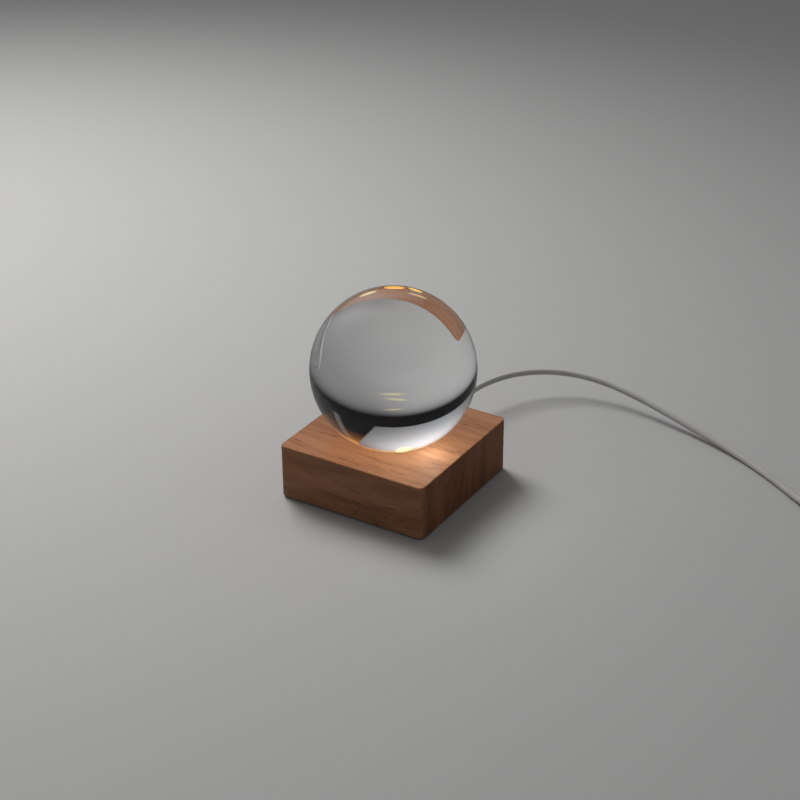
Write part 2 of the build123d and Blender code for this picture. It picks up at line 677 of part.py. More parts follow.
def lead():
    """The lead from the grommet on, with its switch, coil and plug."""
    points = route_points()
    save("cord_run", tube("cord_run", points))

    switch = further(heading_plane(points), cord_stop)
    save("switch_lower_case", switch * switch_lower_case())
    save("switch_upper_case", switch * switch_upper_case())
    save("switch_rocker", switch * switch_rocker())
    save("switch_terminals", *[switch * solid for solid in switch_terminals()])
    save("switch_wires", *[switch * solid for solid in switch_wires()])
    save("switch_screws", *[switch * solid for solid in switch_screws()])

    after = further(switch, cord_stop)
    save("cord_lead", tube("cord_lead", stretch(after, LEAD_ROUTE, split_height, coil_low)))

    entry = further(after, LEAD_ROUTE[-1][0] + CORD_DIAMETER)
    middle = entry.from_local_coords((0, -COIL_START_RADIUS, 0))
    coil = Plane(origin=middle, x_dir=entry.y_dir, z_dir=(0, 0, 1))
    path, last_radius = coil_path()
    print(f"cord_coil least gap to itself {least_self_gap(path):.2f}")
    save("cord_coil", coil * sweep_cord("cord_coil", path))
    save("coil_tie", coil * coil_strap())

    leaving = further(entry, CORD_DIAMETER, last_radius - COIL_START_RADIUS)
    save("cord_end", tube("cord_end", stretch(leaving, END_ROUTE, coil_high, plug_height)))

    plug = further(leaving, END_ROUTE[-1][0])
    save("plug_grip", plug * plug_grip())
    save("plug_shell", plug * plug_shell())
    save("plug_insulator", plug * plug_insulator())
    save("plug_contacts", *[plug * solid for solid in plug_contacts()])
    axle = switch.from_local_coords((0, 0, pivot_height))
    tip = plug.from_local_coords((shell_tip, 0, plug_height))
    print(f"rocker axle through {tuple(axle)} along {tuple(switch.y_dir)}, plug tip at {tuple(tip)}")


os.makedirs("parts", exist_ok=True)
lamp()
lead()
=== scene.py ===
"""Looks of the glass ball lamp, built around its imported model.

Metres. The origin is on the floor under the middle of the wooden block, +Z is up and -Y is the front.
The lead leaves the back of the block (+Y), comes round to +X and lies on the floor there.
"""

import logging
import math
from dataclasses import dataclass, replace
from enum import Enum
from typing import Any, Iterable, Mapping, Sequence

import bmesh
import bpy
from mathutils import Matrix, Vector

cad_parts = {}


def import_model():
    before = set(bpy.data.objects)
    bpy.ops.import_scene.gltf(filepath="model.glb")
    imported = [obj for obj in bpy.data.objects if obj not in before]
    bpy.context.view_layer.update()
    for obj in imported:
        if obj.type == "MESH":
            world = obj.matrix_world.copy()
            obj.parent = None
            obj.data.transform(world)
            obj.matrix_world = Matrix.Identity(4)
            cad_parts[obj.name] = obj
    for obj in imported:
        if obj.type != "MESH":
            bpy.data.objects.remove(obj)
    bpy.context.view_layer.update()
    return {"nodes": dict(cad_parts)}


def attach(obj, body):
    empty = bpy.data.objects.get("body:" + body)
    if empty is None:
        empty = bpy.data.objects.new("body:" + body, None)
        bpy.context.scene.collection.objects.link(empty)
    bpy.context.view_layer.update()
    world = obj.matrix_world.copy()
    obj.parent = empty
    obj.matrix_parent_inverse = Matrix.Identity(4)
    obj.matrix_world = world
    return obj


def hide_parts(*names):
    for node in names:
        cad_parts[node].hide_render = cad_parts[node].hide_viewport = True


Colour = tuple[float, float, float]
Point = tuple[float, float, float]
Span = tuple[float, float]
EdgePoint = tuple[float, float, float, float]
NodeMap = dict[str, bpy.types.Object]

LOG = logging.getLogger("glass_ball_lamp")
BASE_BODY = "base"
BALL_BODY = "ball"
ROCKER_BODY = "rocker"

LEAD_DIAMETER = 0.0032
LEAD_HEIGHT = 0.01455
LEAD_HEADING = (0.7754359, -0.6314263)
BACK_FACE = 0.040
SWITCH_SPLIT = 0.0049865
SWITCH_END: Point = (0.2317894, 0.0390061, 0.0)
STRAP_WIDTH = 0.005
PLUG_AXIS = 0.004
LED_RING = 0.012

QUARTER_TURN = math.pi / 2.0
CORNER_STEPS = 6
LINE_ROUNDNESS = 6
LINE_STEPS = 10
BLACK: Colour = (0.0, 0.0, 0.0)
EVEN: Point = (1.0, 1.0, 1.0)


def shade(colour: Colour, factor: float) -> Colour:
    """Give a colour with each part times a factor."""
    return tuple(part * factor for part in colour)


def in_scene(name: str, data: bpy.types.ID) -> bpy.types.Object:
    """Make an object and link it to the scene.

    Args:
        name: The object's name.
        data: Its mesh, curve, lamp or camera.

    Returns:
        The object.
    """
    made = bpy.data.objects.new(name, data)
    bpy.context.scene.collection.objects.link(made)
    return made


def lead_axes(start: Point) -> Matrix:
    """Give the axes of what lies along the end of the lead: x along it, y to its left, z up.

    Args:
        start: Where the axes start.

    Returns:
        The axes.
    """
    x, y = LEAD_HEADING
    turn = Matrix(((x, -y, 0.0, 0.0), (y, x, 0.0, 0.0), (0.0, 0.0, 1.0, 0.0), (0.0, 0.0, 0.0, 1.0)))
    return Matrix.Translation(start) @ turn


def corner_points(across: float, up: float, radius: float, first: float) -> list[EdgePoint]:
    """Go a quarter turn clockwise round a corner of the strap or of a rib.

    Args:
        across: The place of the corner's middle.
        up: The height of the corner's middle.
        radius: The corner's radius.
        first: The direction of its first point, in degrees.

    Returns:
        Place across, height, and the two parts of the outward direction, of each point.
    """
    points = []
    for k in range(CORNER_STEPS + 1):
        turn = math.radians(first - 90.0 * k / CORNER_STEPS)
        out = (math.cos(turn), math.sin(turn))
        points.append((across + radius * out[0], up + radius * out[1], *out))
    return points


@dataclass(frozen=True)
class Grain:
    """Soft noise: bumps in a metre, finer layers, how strong these are, and its stretch each way."""

    scale: float
    detail: float = 2.0
    roughness: float = 0.5
    stretch: Point = EVEN


class Value:
    """An output socket of a shader graph; arithmetic on it adds Math nodes."""

    def __init__(self, graph: "Graph", socket: bpy.types.NodeSocket) -> None:
        """Keep the graph and the socket."""
        self.graph = graph
        self.socket = socket

    def math(self, operation: str, *others: "Value | float") -> "Value":
        """Add one Math node over this value and the others."""
        return self.graph.math(operation, self, *others)

    def __add__(self, other: "Value | float") -> "Value":
        """Add."""
        return self.math("ADD", other)

    def __radd__(self, other: float) -> "Value":
        """Add, from the right."""
        return self.math("ADD", other)

    def __sub__(self, other: "Value | float") -> "Value":
        """Subtract."""
        return self.math("SUBTRACT", other)

    def __rsub__(self, other: float) -> "Value":
        """Subtract from a number."""
        return self.graph.math("SUBTRACT", other, self)

    def __mul__(self, other: "Value | float") -> "Value":
        """Multiply."""
        return self.math("MULTIPLY", other)

    def __rmul__(self, other: float) -> "Value":
        """Multiply, from the right."""
        return self.math("MULTIPLY", other)

    def __truediv__(self, other: "Value | float") -> "Value":
        """Divide."""
        return self.math("DIVIDE", other)

    def __rtruediv__(self, other: float) -> "Value":
        """Divide a number by this."""
        return self.graph.math("DIVIDE", other, self)

    def __abs__(self) -> "Value":
        """Drop the sign."""
        return self.math("ABSOLUTE")

    def reach(self, other: "Value") -> "Value":
        """Give the length of this part and another one at right angles to it."""
        return (self * self + other * other).math("SQRT")

    def step(self, low: float, high: float) -> "Value":
        """Rise smoothly from 0 at the low value to 1 at the high one."""
        limits = {"Value": self, "From Min": low, "From Max": high}
        return self.graph.value("ShaderNodeMapRange", {"interpolation_type": "SMOOTHSTEP"}, limits)

    def edge(self, middle: float, half: float) -> "Value":
        """Rise smoothly from 0 to 1 about a middle value."""
        return self.step(middle - half, middle + half)


class Graph:
    """The nodes of one material or world."""

    MIX_FACTOR, MIX_FIRST, MIX_SECOND, MIX_RESULT = 0, 6, 7, 2

    def __init__(self, tree: bpy.types.NodeTree) -> None:
        """Start with an empty tree."""
        self.tree = tree
        tree.nodes.clear()

    def node(
        self,
        kind: str,
        settings: Mapping[str, Any] | None = None,
        sockets: Mapping[str | int, Any] | None = None,
    ) -> bpy.types.Node:
        """Add a node.

        Args:
            kind: The node's type.
            settings: Its properties, set first.
            sockets: The values or links of its inputs, by name or place.

        Returns:
            The node.
        """
        made = self.tree.nodes.new(kind)
        for key, setting in (settings or {}).items():
            setattr(made, key, setting)
        self.feed(made, sockets or {})
        return made

    def feed(self, node: bpy.types.Node, sockets: Mapping[str | int, Any]) -> None:
        """Set or link a node's inputs.

        Args:
            node: The node.
            sockets: Values, sockets, numbers or colours by input.
        """
        for key, given in sockets.items():
            target = node.inputs[key]
            if isinstance(given, Value):
                self.tree.links.new(given.socket, target)
            elif isinstance(given, bpy.types.NodeSocket):
                self.tree.links.new(given, target)
            elif target.type == "RGBA":
                target.default_value = (*given, 1.0)
            else:
                target.default_value = given

    def value(
        self,
        kind: str,
        settings: Mapping[str, Any] | None = None,
        sockets: Mapping[str | int, Any] | None = None,
        output: str | int = 0,
    ) -> Value:
        """Add a node and wrap one of its outputs.

        Args:
            kind: The node's type.
            settings: Its properties, set first.
            sockets: The values or links of its inputs.
            output: The output's name or place.

        Returns:
            The wrapped output.
        """
        return Value(self, self.node(kind, settings, sockets).outputs[output])

    def math(self, operation: str, *terms: Value | float) -> Value:
        """Add one Math node over its terms."""
        return self.value("ShaderNodeMath", {"operation": operation}, dict(enumerate(terms)))

    def place(self) -> Value:
        """Give the point on the piece, in its own axes and in metres."""
        return self.value("ShaderNodeTexCoord", output="Object")

    def facing(self) -> tuple[Value, Value, Value]:
        """Give the parts of the surface's own direction."""
        return self.parts(self.value("ShaderNodeTexCoord", output="Normal"))

    def parts(self, vector: Value) -> tuple[Value, Value, Value]:
        """Split a vector.

        Args:
            vector: The vector.

        Returns:
            Its x, y and z.
        """
        split = self.node("ShaderNodeSeparateXYZ", sockets={"Vector": vector})
        x, y, z = (Value(self, socket) for socket in split.outputs)
        return x, y, z

    def rays(self, *kinds: str) -> list[Value]:
        """Tell of which kind a look is.

        Args:
            kinds: The kinds, such as Camera or Glossy.

        Returns:
            1 or 0 for each kind.
        """
        path = self.node("ShaderNodeLightPath")
        return [Value(self, path.outputs[f"Is {kind} Ray"]) for kind in kinds]

    def noise(self, vector: Value, grain: Grain) -> Value:
        """Add soft noise.

        Args:
            vector: Where it is read.
            grain: Its scale, layers and stretch.

        Returns:
            A value from about 0.2 to 0.8, 0.5 in the middle.
        """
        if grain.stretch != EVEN:
            terms = {0: vector, 1: grain.stretch}
            vector = self.value("ShaderNodeVectorMath", {"operation": "MULTIPLY"}, terms)
        layers = {"Scale": grain.scale, "Detail": grain.detail, "Roughness": grain.roughness}
        return self.value("ShaderNodeTexNoise", {"noise_dimensions": "3D"}, {"Vector": vector, **layers})

    def mix(self, factor: Value | float, first: Value | Colour, second: Value | Colour) -> Value:
        """Mix two colours.

        Args:
            factor: How much of the second one there is.
            first: The first colour.
            second: The second colour.

        Returns:
            The mixed colour.
        """
        sockets = {self.MIX_FACTOR: factor, self.MIX_FIRST: first, self.MIX_SECOND: second}
        settings = {"data_type": "RGBA", "clamp_factor": True}
        return self.value("ShaderNodeMix", settings, sockets, self.MIX_RESULT)

    def bump(self, height: Value, depth: float, strength: float) -> Value:
        """Turn a height from 0 to 1 into a surface direction.

        Args:
            height: The height.
            depth: What a height of 1 is, in metres.
            strength: How much of it shows.

        Returns:
            The direction, for the shader's Normal.
        """
        sockets = {"Height": height, "Distance": depth, "Strength": strength}
        return self.value("ShaderNodeBump", {}, sockets)


class Brushing(Enum):
    """The way a metal's fine scratches run."""

    ALONG = (0.06, 1.0, 1.0)
    SPECKLED = EVEN


@dataclass(frozen=True)
class Finish:
    """What every finish shares: one material, made the first time it is asked for."""

    name: str

    def constants(self) -> dict[str, Any]:
        """Give the shader's inputs that are the same all over."""
        return {}

    def paint(self, graph: Graph, shader: bpy.types.Node) -> None:
        """Link what varies over the surface."""
        raise NotImplementedError

    def material(self) -> bpy.types.Material:
        """Give the finish's material.

        Returns:
            The material, made on the first call.
        """
        own_name = f"{self.name}_finish"
        made = bpy.data.materials.get(own_name)
        if made is None:
            made = bpy.data.materials.new(own_name)
            made.use_nodes = True
            graph = Graph(made.node_tree)
            shader = graph.node("ShaderNodeBsdfPrincipled", {}, self.constants())
            self.paint(graph, shader)
            graph.node("ShaderNodeOutputMaterial", {}, {"Surface": shader.outputs[0]})
        return made


@dataclass(frozen=True)
class OiledWood(Finish):
    """Reddish brown hardwood with its grain along X, so that the ends show end grain."""

    pale: Colour = (0.372, 0.170, 0.084)
    deep: Colour = (0.232, 0.095, 0.044)
    pore: Colour = (0.064, 0.025, 0.012)
    end_pale: Colour = (0.262, 0.110, 0.052)
    end_deep: Colour = (0.157, 0.062, 0.029)
    roughness: float = 0.47
    grain_depth: float = 0.00022
    ring_width: float = 0.0065
    ring_sway: float = 0.030
    heart_y: float = 0.19
    heart_z: float = -0.06
    drift: Grain = Grain(42.0, stretch=(0.14, 1.0, 1.0))
    bands: Grain = Grain(78.0, 3.0, 0.55, (0.20, 1.0, 1.0))
    fibres: Grain = Grain(760.0, 3.0, 0.6, (0.055, 1.0, 1.0))
    threads: Grain = Grain(2600.0, stretch=(0.06, 1.0, 1.0))
    dashes: Grain = Grain(1500.0, 1.0, stretch=(0.075, 1.0, 1.0))
    flocks: Grain = Grain(95.0, 1.0, stretch=(0.35, 1.0, 1.0))
    uprights: Grain = Grain(105.0, 3.0, stretch=(1.0, 1.0, 0.12))
    specks: Grain = Grain(2300.0, 1.0)
    late_rise: Span = (0.25, 0.8)
    late_fall: Span = (0.88, 1.0)
    pore_edge: Span = (0.665, 0.735)
    speck_edge: Span = (0.60, 0.72)
    end_edge: Span = (0.72, 0.97)
    side_tones: Span = (0.66, 1.36)
    end_tones: Span = (0.52, 1.08)

    def constants(self) -> dict[str, Any]:
        """Give the oil's low sheen."""
        return {"Specular IOR Level": 0.27, "Coat Weight": 0.03, "Coat Roughness": 0.45}

    def paint(self, graph: Graph, shader: bpy.types.Node) -> None:
        """Lay soft bands, fibres and pores along X, and upright bands over the end grain.

        Args:
            graph: The material's nodes.
            shader: The shader that they feed.
        """
        place = graph.place()
        _, y, z = graph.parts(place)
        bands = graph.noise(place, self.bands)
        fibres = graph.noise(place, self.fibres)
        threads = graph.noise(place, self.threads)

        sway = (graph.noise(place, self.drift) - 0.5) * self.ring_sway
        radius = (y + sway - self.heart_y).reach(z - self.heart_z)
        ring = (radius / self.ring_width + bands * 1.6).math("FRACT")
        late = ring.step(*self.late_rise) * (1.0 - ring.step(*self.late_fall))

        flocks = (graph.noise(place, self.flocks) - 0.5) * 0.42
        pores = (graph.noise(place, self.dashes) + flocks).step(*self.pore_edge)
        tone = (bands * 1.15 + fibres * 0.5 + late * 0.14 + threads * 0.25).step(*self.side_tones)
        side = graph.mix(tone, self.pale, self.deep)
        side = graph.mix(pores * 0.7, side, self.pore)

        uprights = graph.noise(place, self.uprights)
        specks = graph.noise(place, self.specks).step(*self.speck_edge)
        tone = (uprights * 1.3 + late * 0.10 + threads * 0.2).step(*self.end_tones)
        end = graph.mix(tone, self.end_pale, self.end_deep)
        end = graph.mix(specks * 0.45, end, self.pore)

        x_facing, _, _ = graph.facing()
        colour = graph.mix(abs(x_facing).step(*self.end_edge), side, end)
        rough = self.roughness + threads * 0.14 + pores * 0.18
        height = threads * 0.3 + fibres * 0.3 - pores * 0.9
        normal = graph.bump(height, self.grain_depth, 0.5)
        graph.feed(shader, {"Base Color": colour, "Roughness": rough, "Normal": normal})


@dataclass(frozen=True)
class ClearGlass(Finish):
    """Clear glass or acrylic, polished, with a few faint smudges."""

    tint: Colour = (0.985, 0.995, 0.99)
    refraction: float = 1.5
    least_roughness: float = 0.0
    smudge: float = 0.02
    patches: Grain = Grain(55.0)
    patch_edge: Span = (0.60, 0.72)
    streaks: Grain = Grain(900.0, stretch=(1.0, 1.0, 0.25))
    streak_edge: Span = (0.45, 0.7)

    def constants(self) -> dict[str, Any]:
        """Give the clear body."""
        return {"Base Color": self.tint, "Transmission Weight": 1.0, "IOR": self.refraction}

    def paint(self, graph: Graph, shader: bpy.types.Node) -> None:
        """Spread the smudges.

        Args:
            graph: The material's nodes.
            shader: The shader that they feed.
        """
        place = graph.place()
        patches = graph.noise(place, self.patches).step(*self.patch_edge)
        streaks = graph.noise(place, self.streaks).step(*self.streak_edge)
        graph.feed(shader, {"Roughness": patches * streaks * self.smudge + self.least_roughness})


@dataclass(frozen=True)
class MouldedPlastic(Finish):
    """Plastic or vinyl from a mould: a fine even grain, slight clouds of tone and a parting line."""

    colour: Colour = (0.8, 0.8, 0.8)
    roughness: float = 0.42
    grain: Grain = Grain(2600.0)
    grain_depth: float = 0.00002
    clouds: Grain = Grain(130.0, 3.0)
    cloud_edge: Span = (0.35, 0.8)
    scuffs: Grain = Grain(420.0, 3.0, stretch=(1.0, 1.0, 0.2))
    scuff_edge: Span = (0.58, 0.75)
    worn: float = 0.80
    part_dark: float = 0.25
    part_height: float = -1.0
    part_width: float = 0.00009
    part_core: float = 0.4

    def constants(self) -> dict[str, Any]:
        """Give the gloss of the plastic."""
        return {"Specular IOR Level": 0.5}

    def paint(self, graph: Graph, shader: bpy.types.Node) -> None:
        """Lay the grain and the parting line.

        Args:
            graph: The material's nodes.
            shader: The shader that they feed.
        """
        place = graph.place()
        _, _, z = graph.parts(place)
        clouds = graph.noise(place, self.clouds)
        scuffs = graph.noise(place, self.scuffs).step(*self.scuff_edge)
        line = 1.0 - abs(z - self.part_height).step(self.part_width * self.part_core, self.part_width)
        wear = clouds.step(*self.cloud_edge) * 0.45 + scuffs * 0.18
        colour = graph.mix(wear, self.colour, shade(self.colour, self.worn))
        colour = graph.mix(line * 0.6, colour, shade(self.colour, self.part_dark))
        rough = self.roughness + (clouds - 0.5) * 0.18 + scuffs * 0.10
        normal = graph.bump(graph.noise(place, self.grain) - line * 2.0, self.grain_depth, 0.8)
        graph.feed(shader, {"Base Color": colour, "Roughness": rough, "Normal": normal})


@dataclass(frozen=True)
class PlatedMetal(Finish):
    """Plated or stamped metal with fine scratches and a little tarnish."""

    colour: Colour = (0.7, 0.7, 0.7)
    roughness: float = 0.28
    brushing: Brushing = Brushing.SPECKLED
    scratches: Grain = Grain(4200.0, 3.0, 0.65)
    scratch_depth: float = 0.000008
    tarnish: Grain = Grain(240.0, 3.0)
    tarnish_edge: Span = (0.42, 0.78)
    dull: float = 0.72

    def constants(self) -> dict[str, Any]:
        """Make it metal."""
        return {"Metallic": 1.0}

    def paint(self, graph: Graph, shader: bpy.types.Node) -> None:
        """Lay the scratches and the tarnish.

        Args:
            graph: The material's nodes.
            shader: The shader that they feed.
        """
        place = graph.place()
        scratches = graph.noise(place, replace(self.scratches, stretch=self.brushing.value))
        tarnish = graph.noise(place, self.tarnish).step(*self.tarnish_edge)
        colour = graph.mix(tarnish * 0.55, self.colour, shade(self.colour, self.dull))
        rough = self.roughness + (scratches - 0.5) * 0.22 + tarnish * 0.12
        normal = graph.bump(scratches, self.scratch_depth, 0.7)
        graph.feed(shader, {"Base Color": colour, "Roughness": rough, "Normal": normal})


@dataclass(frozen=True)
class CircuitBoard(Finish):
    """White solder mask over copper tracks that follow the ring of LEDs."""

    mask: Colour = (0.80, 0.81, 0.79)
    track: Colour = (0.70, 0.71, 0.67)
    pad: Colour = (0.62, 0.60, 0.55)
    core: Colour = (0.55, 0.50, 0.36)
    roughness: float = 0.3
    track_out: float = 0.0031
    track_half: float = 0.0009
    track_core: float = 0.8
    track_depth: float = 0.00004
    via_scale: float = 260.0
    via_edge: Span = (0.10, 0.14)
    rim: float = 0.0274
    rim_edge: float = 0.0001
    weave: Grain = Grain(1500.0)

    def constants(self) -> dict[str, Any]:
        """Give the mask's gloss."""
        return {"Specular IOR Level": 0.5}

    def track_beside(self, radius: Value, side: float) -> Value:
        """Give 1 on the track inside (-1) or outside (1) the ring of LEDs, and 0 off it."""
        away = abs(radius - (LED_RING + side * self.track_out))
        return 1.0 - away.step(self.track_half * self.track_core, self.track_half)

    def paint(self, graph: Graph, shader: bpy.types.Node) -> None:
        """Draw the tracks, the tinned rim of the pads and the bare edge.

        Args:
            graph: The material's nodes.
            shader: The shader that they feed.
        """
        place = graph.place()
        x, y, _ = graph.parts(place)
        radius = x.reach(y)
        tracks = self.track_beside(radius, -1.0) + self.track_beside(radius, 1.0)
        grid = {"Vector": place, "Scale": self.via_scale}
        dots = graph.value("ShaderNodeTexVoronoi", {"feature": "F1"}, grid)
        vias = (1.0 - dots.step(*self.via_edge)) * tracks
        edge = radius.step(self.rim, self.rim + self.rim_edge)
        weave = graph.noise(place, self.weave)
        colour = graph.mix(tracks, self.mask, self.track)
        colour = graph.mix(vias, colour, self.pad)
        colour = graph.mix(edge, colour, self.core)
        rough = self.roughness + weave * 0.12 + edge * 0.3
        normal = graph.bump(tracks + weave * 0.2, self.track_depth, 0.6)
        graph.feed(shader, {"Base Color": colour, "Roughness": rough, "Normal": normal})


@dataclass(frozen=True)
class LitLed(Finish):
    """White LED packages whose round phosphor wells glow warm."""

    package: Colour = (0.82, 0.80, 0.74)
    phosphor: Colour = (0.90, 0.62, 0.16)
    glow: Colour = (1.0, 0.50, 0.13)
    heart: Colour = (1.0, 0.78, 0.42)
    strength: float = 16.0
    roughness: float = 0.35
    count: int = 6
    well: float = 0.00115
    well_edge: Span = (0.86, 1.0)
    heart_edge: Span = (0.1, 0.9)
    grain: Grain = Grain(3500.0)

    def constants(self) -> dict[str, Any]:
        """Give the light's strength."""
        return {"Emission Strength": self.strength, "Roughness": self.roughness}

    def paint(self, graph: Graph, shader: bpy.types.Node) -> None:
        """Find each well by folding the ring onto one LED, and light it.

        Args:
            graph: The material's nodes.
            shader: The shader that they feed.
        """
        place = graph.place()
        x, y, _ = graph.parts(place)
        pitch = 2.0 * math.pi / self.count
        turn = y.math("ARCTAN2", x) + 2.0 * math.pi + pitch / 2.0
        folded = turn.math("MODULO", pitch) - pitch / 2.0
        radius = x.reach(y)
        out = radius * folded.math("COSINE") - LED_RING
        away = out.reach(radius * folded.math("SINE")) / self.well
        lit = 1.0 - away.step(*self.well_edge)
        middle = 1.0 - away.step(*self.heart_edge)
        warm = graph.mix(middle * (0.4 + graph.noise(place, self.grain)), self.glow, self.heart)
        colour = graph.mix(lit, self.package, self.phosphor)
        graph.feed(shader, {"Base Color": colour, "Emission Color": graph.mix(lit, BLACK, warm)})


@dataclass(frozen=True)
class FibreBoard(Finish):
    """Pressed brown fibre board with pale and dark fibres."""

    colour: Colour = (0.36, 0.22, 0.135)
    light: Colour = (0.52, 0.36, 0.24)
    dark: Colour = (0.20, 0.11, 0.065)
    roughness: float = 0.7
    fibre_depth: float = 0.00006
    along: Grain = Grain(1500.0, 3.0, stretch=(0.22, 1.0, 1.0))
    along_edge: Span = (0.52, 0.68)
    across: Grain = Grain(1500.0, 3.0, stretch=(1.0, 0.22, 1.0))
    across_edge: Span = (0.55, 0.70)
    clouds: Grain = Grain(90.0, 3.0)

    def constants(self) -> dict[str, Any]:
        """Make it dull."""
        return {"Specular IOR Level": 0.25}

    def paint(self, graph: Graph, shader: bpy.types.Node) -> None:
        """Scatter the fibres.

        Args:
            graph: The material's nodes.
            shader: The shader that they feed.
        """
        place = graph.place()
        along = graph.noise(place, self.along).step(*self.along_edge)
        across = graph.noise(place, self.across).step(*self.across_edge)
        clouds = (graph.noise(place, self.clouds) - 0.5) * 0.5
        colour = graph.mix(along * 0.6, self.colour, self.light)
        colour = graph.mix(across * 0.6 + clouds, colour, self.dark)
        rough = self.roughness + along * 0.15
        normal = graph.bump(along - across, self.fibre_depth, 0.6)
        graph.feed(shader, {"Base Color": colour, "Roughness": rough, "Normal": normal})


@dataclass(frozen=True)
class WovenStrap(Finish):
    """Woven strap: ribs across its length, crossed threads and a paler selvedge."""

    colour: Colour = (0.085, 0.085, 0.09)
    light: Colour = (0.19, 0.19, 0.20)
    roughness: float = 0.75
    thread: float = 0.00042
    thread_depth: float = 0.00009
    half_width: float = STRAP_WIDTH / 2.0
    selvedge: Span = (0.8, 0.95)
    fuzz: Grain = Grain(3800.0)

    def constants(self) -> dict[str, Any]:
        """Give the yarn's sheen."""
        return {"Sheen Weight": 0.35, "Sheen Roughness": 0.4, "Specular IOR Level": 0.2}

    def paint(self, graph: Graph, shader: bpy.types.Node) -> None:
        """Weave the threads in the strap's own axes.

        Args:
            graph: The material's nodes.
            shader: The shader that they feed.
        """
        place = graph.place()
        x, y, z = graph.parts(place)
        wave = 2.0 * math.pi / self.thread
        weave = ((x + z) * wave).math("SINE") * (y * wave).math("SINE") * 0.5 + 0.5
        fuzz = graph.noise(place, self.fuzz)
        selvedge = abs(y).step(*(self.half_width * share for share in self.selvedge))
        colour = graph.mix(weave * 0.6 + fuzz * 0.3, self.colour, self.light)
        colour = graph.mix(selvedge * 0.5, colour, self.light)
        rough = self.roughness + fuzz * 0.15
        normal = graph.bump(weave + fuzz * 0.4, self.thread_depth, 0.9)
        graph.feed(shader, {"Base Color": colour, "Roughness": rough, "Normal": normal})


@dataclass(frozen=True)
class PaleFloor(Finish):
    """Plain pale floor with a hardly seen mottle; for looks through glass, painted shade darkens it far
    off, on one side and behind the block, and gloss shows it darker too.
    """

    colour: Colour = (0.46, 0.457, 0.451)
    painted_shade_colour: Colour = (0.004, 0.004, 0.004)
    roughness: float = 0.55
    clouds: Grain = Grain(3.0, 3.0)
    cloud_dark: float = 0.85
    far: Span = (0.10, 0.57)
    shaded_side_bearing: float = 58.3
    shaded_side: Span = (-0.045, 0.05)
    shaded_side_depth: float = 0.38
    shade_left: Span = (-0.040, -0.022)
    shade_front: Span = (0.0, 0.02)
    shade_back: Span = (0.053, 0.066)
    shade_depth: float = 0.52
    gloss_shade_depth: float = 0.7

    def constants(self) -> dict[str, Any]:
        """Make it matt."""
        return {"Specular IOR Level": 0.0}

    def paint(self, graph: Graph, shader: bpy.types.Node) -> None:
        """Mottle it a little, and darken it with painted shade for looks through glass and in gloss.

        Args:
            graph: The material's nodes.
            shader: The shader that they feed.
        """
        clouds = graph.noise(graph.place(), self.clouds)
        colour = graph.mix(clouds * 0.12, self.colour, shade(self.colour, self.cloud_dark))
        glossy, through = graph.rays("Glossy", "Transmission")
        # Painted shade: looks through glass show the floor darker far off, on one side and behind the
        # block; gloss shows it darker too.
        dim = through * (1.0 - self.kept(graph)) + glossy * (1.0 - through) * self.gloss_shade_depth
        colour = graph.mix(dim, colour, self.painted_shade_colour)
        graph.feed(shader, {"Base Color": colour, "Roughness": self.roughness + clouds * 0.05})

    def kept(self, graph: Graph) -> Value:
        """Give how much of its colour the floor keeps under the painted shade, where glass shows it.

        Args:
            graph: The material's nodes.

        Returns:
            1 near the block, less far off, on the shaded side and in the painted shadow behind the block.
        """
        x, y, _ = graph.parts(graph.place())
        turn = math.radians(self.shaded_side_bearing)
        aside = x * math.sin(turn) + y * math.cos(turn)
        shaded_side = aside.step(*self.shaded_side) * self.shaded_side_depth
        # Painted shadow of the block on the floor just behind it.
        behind = y.step(*self.shade_front) * (1.0 - y.step(*self.shade_back))
        shaded = x.step(*self.shade_left) * behind * self.shade_depth
        return (1.0 - x.reach(y).step(*self.far)) * (1.0 - shaded_side) * (1.0 - shaded)


@dataclass(frozen=True)
class LedGlint(Finish):
    """A painted glint: a warm glow that stands for an LED's light, where only glass shows it."""

    light: Colour = (1.0, 0.50, 0.10)
    strength: float = 2.1
    shimmer: Grain = Grain(900.0)
    dim: float = 0.7

    def constants(self) -> dict[str, Any]:
        """Give the light's strength."""
        return {"Base Color": BLACK, "Emission Strength": self.strength}

    def paint(self, graph: Graph, shader: bpy.types.Node) -> None:
        """Let the light shimmer a little."""
        shimmer = graph.noise(graph.place(), self.shimmer)
        graph.feed(shader, {"Emission Color": graph.mix(shimmer, self.light, shade(self.light, self.dim))})


@dataclass(frozen=True)
class GhostLight(LedGlint):
    """A painted reflection: a faint soft glow that stands for the image of the LEDs which the glass throws
    back and forth inside.
    """

    shimmer: Grain = Grain(3.0)
    veil: float = 0.45
    fade: Span = (0.1, 1.0)

    def paint(self, graph: Graph, shader: bpy.types.Node) -> None:
        """Let the image fade towards its edge.

        Args:
            graph: The material's nodes.
            shader: The shader that they feed.
        """
        super().paint(graph, shader)
        x, y, _ = graph.parts(graph.place())
        graph.feed(shader, {"Alpha": (1.0 - x.reach(y).step(*self.fade)) * self.veil})


@dataclass(frozen=True)
class SoftWindow:
    """A soft pool of light: its bearing and height, its spread each way and its share of the light."""

    bearing: float
    height: float
    spread: Span
    share: float = 1.0

    def apart(self, bearing: Value, height: Value) -> Value:
        """Tell how far a look passes from the middle of the pool.

        Args:
            bearing: The bearing of the look.
            height: The height of the look.

        Returns:
            The square of the distance, counted in spreads.
        """
        aside = (bearing - self.bearing) / self.spread[0]
        above = (height - self.height) / self.spread[1]
        return aside * aside + above * above

    def pool(self, bearing: Value, height: Value) -> Value:
        """Give how much of the light a look meets, on a bell curve."""
        return (self.apart(bearing, height) / -2.0).math("EXPONENT") * self.share


